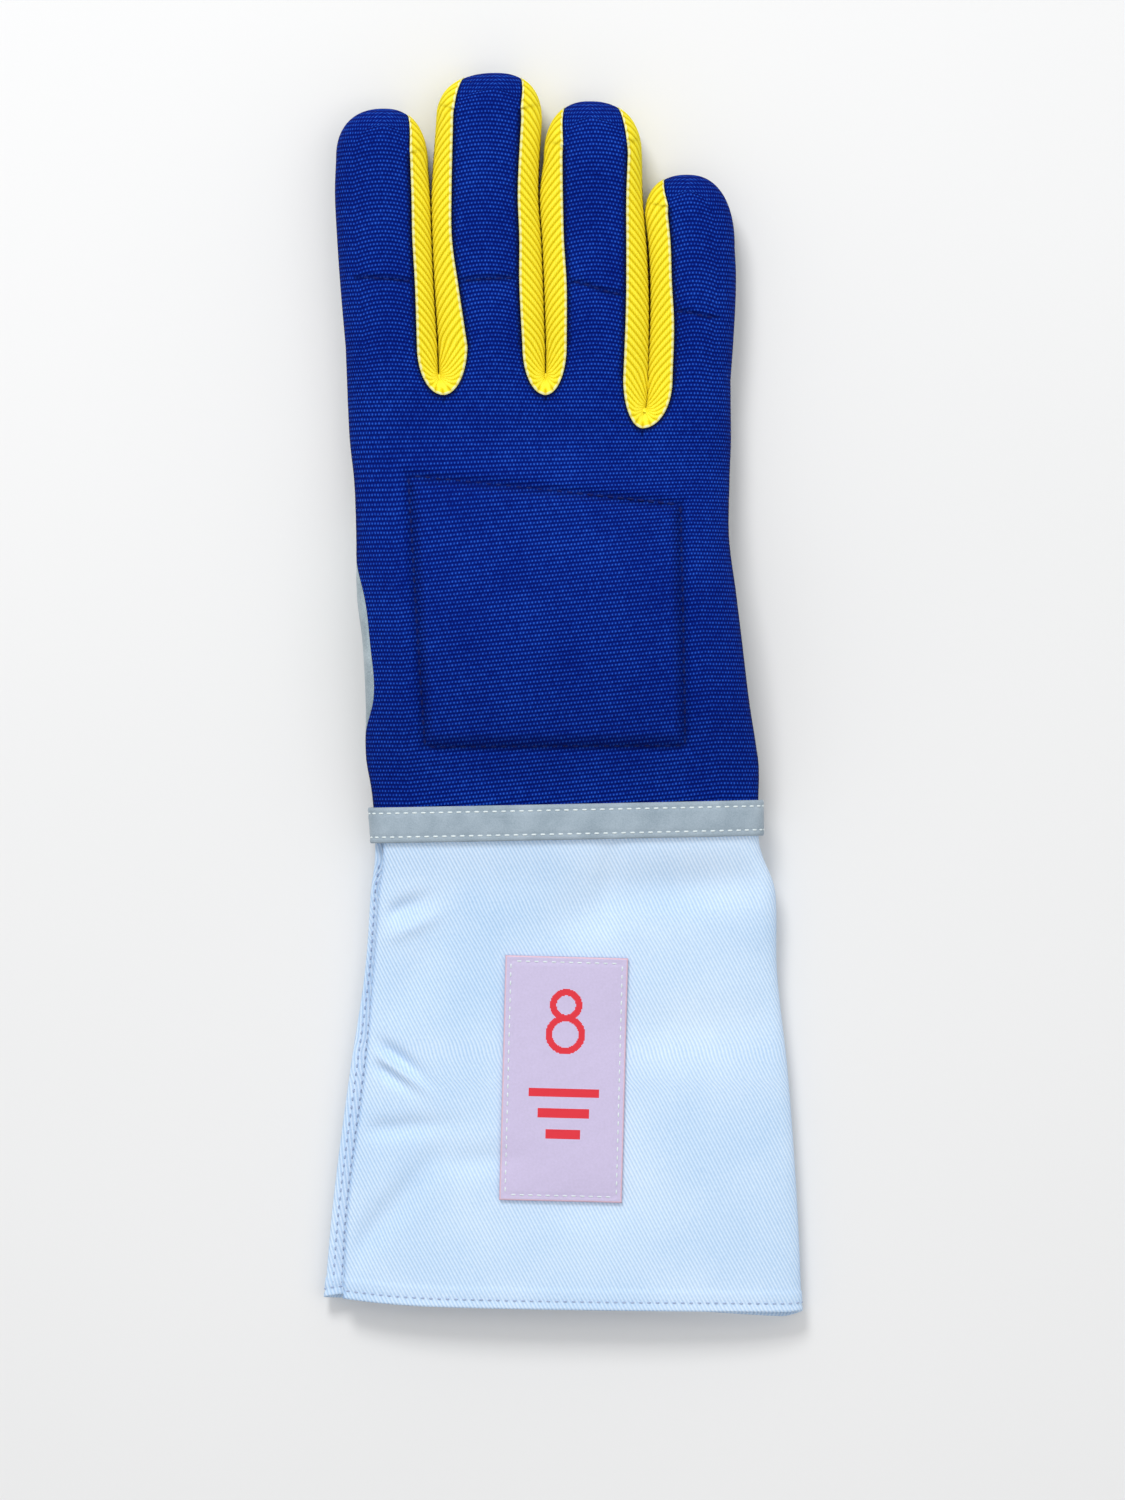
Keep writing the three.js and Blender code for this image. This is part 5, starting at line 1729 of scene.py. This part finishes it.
@dataclass
class Gauntlet:
    """The twill cuff: one sheet from the flap's edge over the top and round underneath."""

    rows: int = 230
    top_columns: int = 190
    under_columns: int = 110
    strip_columns: int = 24
    way_round: tuple[float, float, float] = (0.52, 0.88, 1.0)
    joint_gap: float = 0.35
    hem: float = 6.0
    hem_edge: float = 0.7
    hem_rise: float = 0.3
    hem_stitch: float = 2.1
    stitch_sink: float = 0.25
    fold_depth: float = 1.3
    # edge_shade is painted shade along the flap's free edge.
    edge_shade: float = 0.35
    edge_shade_at: float = 0.2
    edge_shade_width: float = 0.5
    strip_tuck: float = TWILL_WALL + 2.0 * LAYER_GAP
    strip_rows: tuple[float, float] = (0.3, 0.72)
    strip_row_end: float = 0.95
    strip_row_points: int = 200
    strip_normal: tuple[float, float, float] = (-0.55, 0.0, 0.83)

    def section(self, y: Array) -> dict[str, Array]:
        """The cuff's section at a place below the joint."""
        at = -y / CUFF_LENGTH
        wrist = WRIST_HEIGHT / (CUFF.columns["top"][0] * CUFF_HEIGHT)
        height = CUFF_HEIGHT * lerp(wrist, 1.0, smooth(at, 0.0, CUFF_FLARE_SHARE))
        left = CUFF.read("left", at) * HAND_WIDTH + pinch(y)
        right = CUFF.read("right", at) * HAND_WIDTH - pinch(y)
        return {
            "left": left,
            "right": right,
            "flap": CUFF.read("flap", at) * HAND_WIDTH + pinch(y),
            "half": (right - left) / 2.0,
            "middle": CUFF.read("middle", at) * height,
            "top": CUFF.read("top", at) * height,
            "ground": HOLLOW_UNDER_BAND * (1.0 - smooth(-y, BAND_WIDTH, 2.0 * BAND_WIDTH)),
        }

    @staticmethod
    def beside_left(section: dict[str, Array], share: Array | float) -> Array:
        """The angle on the section at a share of the way from its left side to the flap's edge."""
        away = share * (section["flap"] - section["left"]) / section["half"]
        return np.degrees(np.arccos(1.0 - away))

    def tuck(self, x: Array, z: Array, share: Array) -> tuple[Array, Array]:
        """Draws places in and down below the flap, by how far round the strip they lie."""
        tucked = self.strip_tuck * smooth(share, 0.0, STRIP_TUCKED_BY)
        return x + tucked * STRIP_DRAWN_IN, z - tucked

    def folds(self, x: Array, y: Array) -> Array:
        """The depth of all folds at a place, each a bell along and beside its own line."""
        depth = np.zeros(np.shape(x))
        for fold in CUFF_FOLDS:
            dx = x - fold.across * HAND_WIDTH
            dy = y + fold.along * CUFF_LENGTH
            turn = math.radians(fold.turn)
            along = (dx * math.cos(turn) + dy * math.sin(turn)) / fold.long
            beside = (dy * math.cos(turn) - dx * math.sin(turn)) / fold.wide
            depth += fold.deep * np.exp(-(along**2) - beside**2)
        return self.fold_depth * depth

    @staticmethod
    def ring(section: dict[str, Array], turn: Array) -> tuple[Array, Array]:
        """A place on the closed section.

        Args:
            section: the section's sides and heights.
            turn: 0 at the thumb side, 90 on top, 180 at the other side, 270 underneath.

        Returns:
            The place across and its height.
        """
        inward = 1.0 - np.abs(np.cos(np.radians(turn)))
        x = (section["left"] + section["right"]) / 2.0 - section["half"] * np.cos(np.radians(turn))
        upper = section["middle"] + crown(inward, BODY_ROUND) * (section["top"] - section["middle"])
        fall = crown(inward * section["half"] / SIDE_RUN, BODY_ROUND)
        lower = section["middle"] - fall * (section["middle"] - section["ground"])
        return x, np.where(turn <= 180.0, upper, lower)

    def sheet_points(self) -> Array:
        """The whole sheet's points.

        Columns go round the section by angle, and the strip's last columns tuck under the
        flap by the twill's wall. Rows go from the joint to the layer's own end.
        """
        top, under, strip = self.top_columns, self.under_columns, self.strip_columns
        index = np.arange(top + under + strip + 1)
        on_top, above_strip = index <= top, index <= top + under
        knots = (0, top, top + under, top + under + strip)
        reach = CUFF_ENDS.read("reach", np.interp(index, knots, (0.0, *self.way_round)))
        down = np.linspace(0.0, 1.0, self.rows + 1)[:, None]
        y = -lerp(self.joint_gap, reach[None, :] * CUFF_LENGTH, down)
        section = self.section(y)
        edge = self.beside_left(section, 1.0)
        first = lerp(edge, 180.0, np.clip(index / top, 0.0, 1.0)[None, :])
        second = lerp(180.0, 360.0, np.clip((index - top) / under, 0.0, 1.0)[None, :])
        share = np.clip((index - top - under) / strip, 0.0, 1.0)[None, :]
        third = edge * STRIP_TURN * share
        x, z = self.ring(section, np.where(on_top, first, np.where(above_strip, second, third)))
        from_side = np.minimum(x - section["flap"], section["right"] - x)
        soft = smooth(from_side, 0.0, CUFF_HEIGHT / 2.0)
        z = z - np.where(np.broadcast_to(on_top, x.shape), self.folds(x, y) * soft, 0.0)
        x, z = self.tuck(x, z, share)
        return np.stack([x, y, z], -1)

    def top(self, x: Array, y: Array) -> Array:
        """The height of the upper layer's plain form and folds at a place."""
        section = self.section(y)
        middle = (section["left"] + section["right"]) / 2.0
        turn = np.degrees(np.arccos(np.clip((middle - x) / section["half"], -1.0, 1.0)))
        _, height = self.ring(section, turn)
        return height - self.folds(x, y)

    def strip_row(self, share: float) -> Seam:
        """A row of stitches down the strip beside the flap, at a share of what shows of it."""
        end = CUFF_LENGTH * self.strip_row_end
        y = -np.linspace(BAND_WIDTH, end, self.strip_row_points)
        section = self.section(y)
        turn = self.beside_left(section, share)
        x, z = self.ring(section, turn)
        x, z = self.tuck(x, z, turn / (self.beside_left(section, 1.0) * STRIP_TURN))
        path = np.column_stack([x, y, z + CUFF_STITCHES.lift])
        return path, np.tile(np.array(self.strip_normal), (len(path), 1))

    def build(self, finishes: "Finishes") -> None:
        """Makes the sheet, with its doubled hem and its rows of stitches."""
        points = self.sheet_points()
        around, lengthwise = path_length(points, 1), path_length(points, 0)
        to_end = lengthwise[-1:, :] - lengthwise
        doubled = 1.0 - smooth(to_end, self.hem - self.hem_edge, self.hem)
        stitched = bell(to_end - self.hem_stitch, SEAM_DIP_WIDTH)
        normal = -net_normals(points)
        rise = self.hem_rise * doubled - self.stitch_sink * stitched
        moved = points + normal * rise[..., None]
        moved[..., 2] = np.maximum(moved[..., 2], 0.0)
        # Painted shade along the flap's free edge, where the upper layer rolls over.
        shade = self.edge_shade * bell(around - self.edge_shade_at, self.edge_shade_width)
        places = np.stack([points[:, :1, 0] + around, points[..., 1]], -1)
        piece = make_mesh("twill_cuff", weld([Net(moved, places, flipped=True, shade=shade)]))
        thicken(piece, TWILL_WALL)
        settle(piece, Slot.TWILL, finishes.twill, "gauntlet")
        row = int(np.argmin(np.abs(to_end[:, 0] - self.hem_stitch)))
        rows = [(off_ground(moved[row] + HEM_LIFT * normal[row]), normal[row])]
        rows += [self.strip_row(share) for share in self.strip_rows]
        CUFF_STITCHES.sew("cuff_stitches", rows, Slot.TWILL, finishes.grey_thread)


@dataclass
class Label:
    """A woven label, sewn flat on the cuff."""

    columns: int = 70
    rows: int = 140
    inset: float = 1.63
    seam_sink: float = 0.22
    edge_sink: float = 0.15
    edge_width: float = 0.6
    row_points: int = 100

    def height(self, x: Array, y: Array, edge: Array) -> Array:
        """The height of the label's outer side, lower along its seam and its edge."""
        seam = self.seam_sink * bell(edge - self.inset, SEAM_DIP_WIDTH)
        rolled = self.edge_sink * (1.0 - smooth(edge, 0.0, self.edge_width))
        return Gauntlet().top(x, y) + LAYER_GAP + LABEL_WALL - seam - rolled

    def place(self, across: Array, along: Array) -> Array:
        """Lays a place on the label, measured from its middle, on the cuff.

        Args:
            across: from the label's middle towards the little finger.
            along: from the label's middle towards the hand.

        Returns:
            The points of the label's outer side.
        """
        turn = math.radians(LABEL_TURN)
        x = LABEL_PLACE[0] * HAND_WIDTH + across * math.cos(turn) - along * math.sin(turn)
        y = -LABEL_PLACE[1] * CUFF_LENGTH + across * math.sin(turn) + along * math.cos(turn)
        edge = np.minimum(LABEL_WIDTH / 2.0 - np.abs(across), LABEL_LENGTH / 2.0 - np.abs(along))
        return np.stack([x, y, self.height(x, y, edge)], -1)

    def build(self, finishes: "Finishes") -> None:
        """Makes the label and the white stitches round it."""
        across = LABEL_WIDTH * np.linspace(-0.5, 0.5, self.columns + 1)
        along = LABEL_LENGTH * np.linspace(-0.5, 0.5, self.rows + 1)
        across, along = np.meshgrid(across, along)
        net = Net(self.place(across, along), np.stack([across, along], -1))
        piece = make_mesh("woven_label", weld([net]))
        thicken(piece, LABEL_WALL)
        settle(piece, Slot.LABEL, finishes.label, "label")
        half = np.array([LABEL_WIDTH / 2.0 - self.inset, LABEL_LENGTH / 2.0 - self.inset])
        corners = half * np.array([[-1, -1], [1, -1], [1, 1], [-1, 1]])
        rows = []
        for start, end in zip(corners, np.roll(corners, -1, axis=0)):
            share = np.linspace(0.0, 1.0, self.row_points)[:, None]
            path = self.place(*lerp(start, end, share).T)
            rows.append(laid_row(path[:, 0], path[:, 1], path[:, 2] + LABEL_STITCHES.lift))
        LABEL_STITCHES.sew("label_stitches", rows, Slot.LABEL, finishes.thread)


@dataclass
class WristBand:
    """The suede tape round the joint of hand and cuff."""

    around: int = 220
    rows: int = 24
    inset: float = 1.7
    lean: float = 0.02
    above_joint: float = 1.4
    blend: float = 0.6
    edge_sink: float = 0.3
    edge_width: float = 0.8
    seam_sink: float = 0.22

    def surface(self) -> Array:
        """The tape's outer side: the wrist's section, wider by the clearance and the tape."""
        clearance = LAYER_GAP + BAND_WALL
        half = BAND_WIDTH / 2.0
        y = np.linspace(half, -half, self.rows + 1)[:, None] + self.above_joint
        hand = HandShape().section(np.maximum(y, 0.0))
        cuff = Gauntlet().section(np.minimum(y, 0.0))
        above = smooth(y, -self.blend, self.blend)
        wider = {"left": -clearance, "right": clearance, "half": clearance, "middle": 0.0, "top": clearance}
        ring = {key: lerp(cuff[key], hand[key], above) + more for key, more in wider.items()}
        ring["ground"] = np.zeros(y.shape)
        turn = np.linspace(0.0, 360.0, self.around + 1)[None, :]
        x, z = Gauntlet.ring(ring, turn + 0 * y)
        points = np.stack([x, y + self.lean * x, z], -1)
        points[:, -1] = points[:, 0]
        return points

    def build(self, finishes: "Finishes") -> None:
        """Makes the tape with softly rolled edges and its two rows of stitches."""
        points = self.surface()
        normal = -net_normals(points)
        from_middle = points[..., 1] - self.lean * points[..., 0] - self.above_joint
        edge = BAND_WIDTH / 2.0 - np.abs(from_middle)
        sunk = self.edge_sink * (1.0 - smooth(edge, 0.0, self.edge_width))
        sunk += self.seam_sink * bell(edge - self.inset, SEAM_DIP_WIDTH)
        moved = points - normal * sunk[..., None]
        net = Net(moved, points[..., :2], flipped=True)
        piece = make_mesh("suede_tape", weld([net]))
        thicken(piece, BAND_WALL)
        settle(piece, Slot.BAND, finishes.tape, "wrist_band")
        rows = []
        for target in (self.inset, BAND_WIDTH - self.inset):
            row = round(target / BAND_WIDTH * self.rows)
            path = off_ground(moved[row] + BAND_STITCHES.lift * normal[row])
            rows.append((path, normal[row]))
        BAND_STITCHES.sew("band_stitches", rows, Slot.BAND, finishes.thread)


# Camera, light and floor

@dataclass(frozen=True)
class Lamp:
    """A soft square light that looks at the glove, in metres and watts."""

    name: str
    place: tuple[float, float, float]
    size: float
    power: float


@dataclass(frozen=True)
class Studio:
    """A plain pale floor, soft light from the upper left and a camera straight above.

    Args:
        pixels_per_mm: the photo's scale.
        frame_width: the photo's width in pixels.
        frame_height: the photo's height in pixels.
        middle_pixel: where the joint's middle lies in the photo.
        distance: the camera's height in metres.
        focus_height: the height, in metres, at which the frame fits the photo.
        sensor: the camera's sensor in millimetres.
        lamps: the lights.
        room_light: how bright the room is round them.
        floor_reach: half the floor's width in metres.
    """

    pixels_per_mm: float = 3.5
    frame_width: float = 1125.0
    frame_height: float = 1500.0
    middle_pixel: tuple[float, float] = (563.5, 695.5)
    distance: float = 1.6
    focus_height: float = 0.012
    sensor: float = 24.0
    lamps: tuple[Lamp, ...] = (
        Lamp("key", (-0.35, 1.0, 1.15), 0.5, 13.0),
        Lamp("fill", (0.9, 0.1, 1.8), 1.6, 6.0),
        Lamp("over", (0.0, 0.0, 2.2), 2.2, 7.0),
    )
    room_light: float = 0.58
    floor_reach: float = 3.0
    floor_grain: Grain = Grain(3.0, 2.0)
    floor_dark: Colour = (0.745, 0.75, 0.752)
    floor_light: Colour = (0.77, 0.772, 0.775)

    def camera(self) -> None:
        """Places the camera so that the frame covers the photo's width and height."""
        x = (self.frame_width / 2.0 - self.middle_pixel[0]) / self.pixels_per_mm
        y = (self.middle_pixel[1] - self.frame_height / 2.0) / self.pixels_per_mm
        height = self.frame_height / self.pixels_per_mm * MM
        data = bpy.data.cameras.new("camera")
        data.sensor_fit = "VERTICAL"
        data.sensor_height = self.sensor
        data.sensor_width = self.sensor
        data.lens = self.sensor * (self.distance - self.focus_height) / height
        data.clip_start = 0.01
        data.clip_end = 20.0
        camera = bpy.data.objects.new("camera", data)
        camera.location = (x * MM, y * MM, self.distance)
        bpy.context.scene.collection.objects.link(camera)
        bpy.context.scene.camera = camera

    def light(self, lamp: Lamp) -> None:
        """Hangs one light."""
        data = bpy.data.lights.new(lamp.name, "AREA")
        data.shape = "SQUARE"
        data.size = lamp.size
        data.energy = lamp.power
        light = bpy.data.objects.new(lamp.name, data)
        light.location = lamp.place
        light.rotation_euler = (-Vector(lamp.place)).to_track_quat("-Z", "Y").to_euler()
        bpy.context.scene.collection.objects.link(light)

    def floor(self) -> None:
        """Lays the floor as a wide flat sheet just at the ground."""
        signs = ((-1, -1), (1, -1), (1, 1), (-1, 1))
        corners = [(x * self.floor_reach, y * self.floor_reach, 0.0) for x, y in signs]
        mesh = bpy.data.meshes.new("floor")
        mesh.from_pydata(corners, [], [(0, 1, 2, 3)])
        floor = bpy.data.objects.new("floor", mesh)
        bench = Bench("pale_floor")
        cloud = bench.noise(self.floor_grain)
        tone = bench.ramp(cloud, (0.3, self.floor_dark), (0.7, self.floor_light))
        floor.data.materials.append(bench.surface(tone, roughness=0.9))
        bpy.context.scene.collection.objects.link(floor)

    def build(self) -> None:
        """Sets the whole studio up."""
        self.camera()
        self.floor()
        for lamp in self.lamps:
            self.light(lamp)
        world = bpy.data.worlds.new("room")
        world.use_nodes = True
        background = world.node_tree.nodes["Background"]
        background.inputs["Color"].default_value = (1.0, 1.0, 1.0, 1.0)
        background.inputs["Strength"].default_value = self.room_light
        bpy.context.scene.world = world
        bpy.context.scene.view_settings.view_transform = "Standard"


@dataclass(frozen=True)
class Finishes:
    """Every finish of the glove, made once."""

    knit: bpy.types.Material
    ribs: bpy.types.Material
    suede: bpy.types.Material
    tape: bpy.types.Material
    twill: bpy.types.Material
    felt: bpy.types.Material
    label: bpy.types.Material
    thread: bpy.types.Material
    grey_thread: bpy.types.Material
    blue_thread: bpy.types.Material

    @classmethod
    def make(cls) -> "Finishes":
        """Makes the materials."""
        felt = PlainClothFinish("blue_felt", (0.01, 0.03, 0.14), (0.02, 0.06, 0.25), Grain(1800.0, 2.0))
        return cls(
            knit=KnitFinish().make(),
            ribs=RibFinish().make(),
            suede=SuedeFinish().make(),
            tape=SuedeFinish("tape_suede", (0.25, 0.32, 0.38), (0.37, 0.45, 0.52)).make(),
            twill=TwillFinish().make(),
            felt=felt.make(),
            label=LabelFinish().make(),
            thread=PlainClothFinish("white_thread", (0.62, 0.7, 0.72), (0.8, 0.87, 0.88)).make(),
            grey_thread=PlainClothFinish("grey_thread", (0.3, 0.38, 0.56), (0.42, 0.52, 0.72)).make(),
            blue_thread=PlainClothFinish("blue_thread", (0.0005, 0.004, 0.07), (0.001, 0.012, 0.16)).make(),
        )


def main() -> None:
    """Builds the glove's pieces in order."""
    logging.basicConfig(level=logging.INFO, format="%(name)s: %(message)s")
    Studio().build()
    finishes = Finishes.make()
    Hand().build(finishes)
    Gauntlet().build(finishes)
    WristBand().build(finishes)
    Label().build(finishes)
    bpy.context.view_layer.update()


if __name__ == "__main__":
    main()
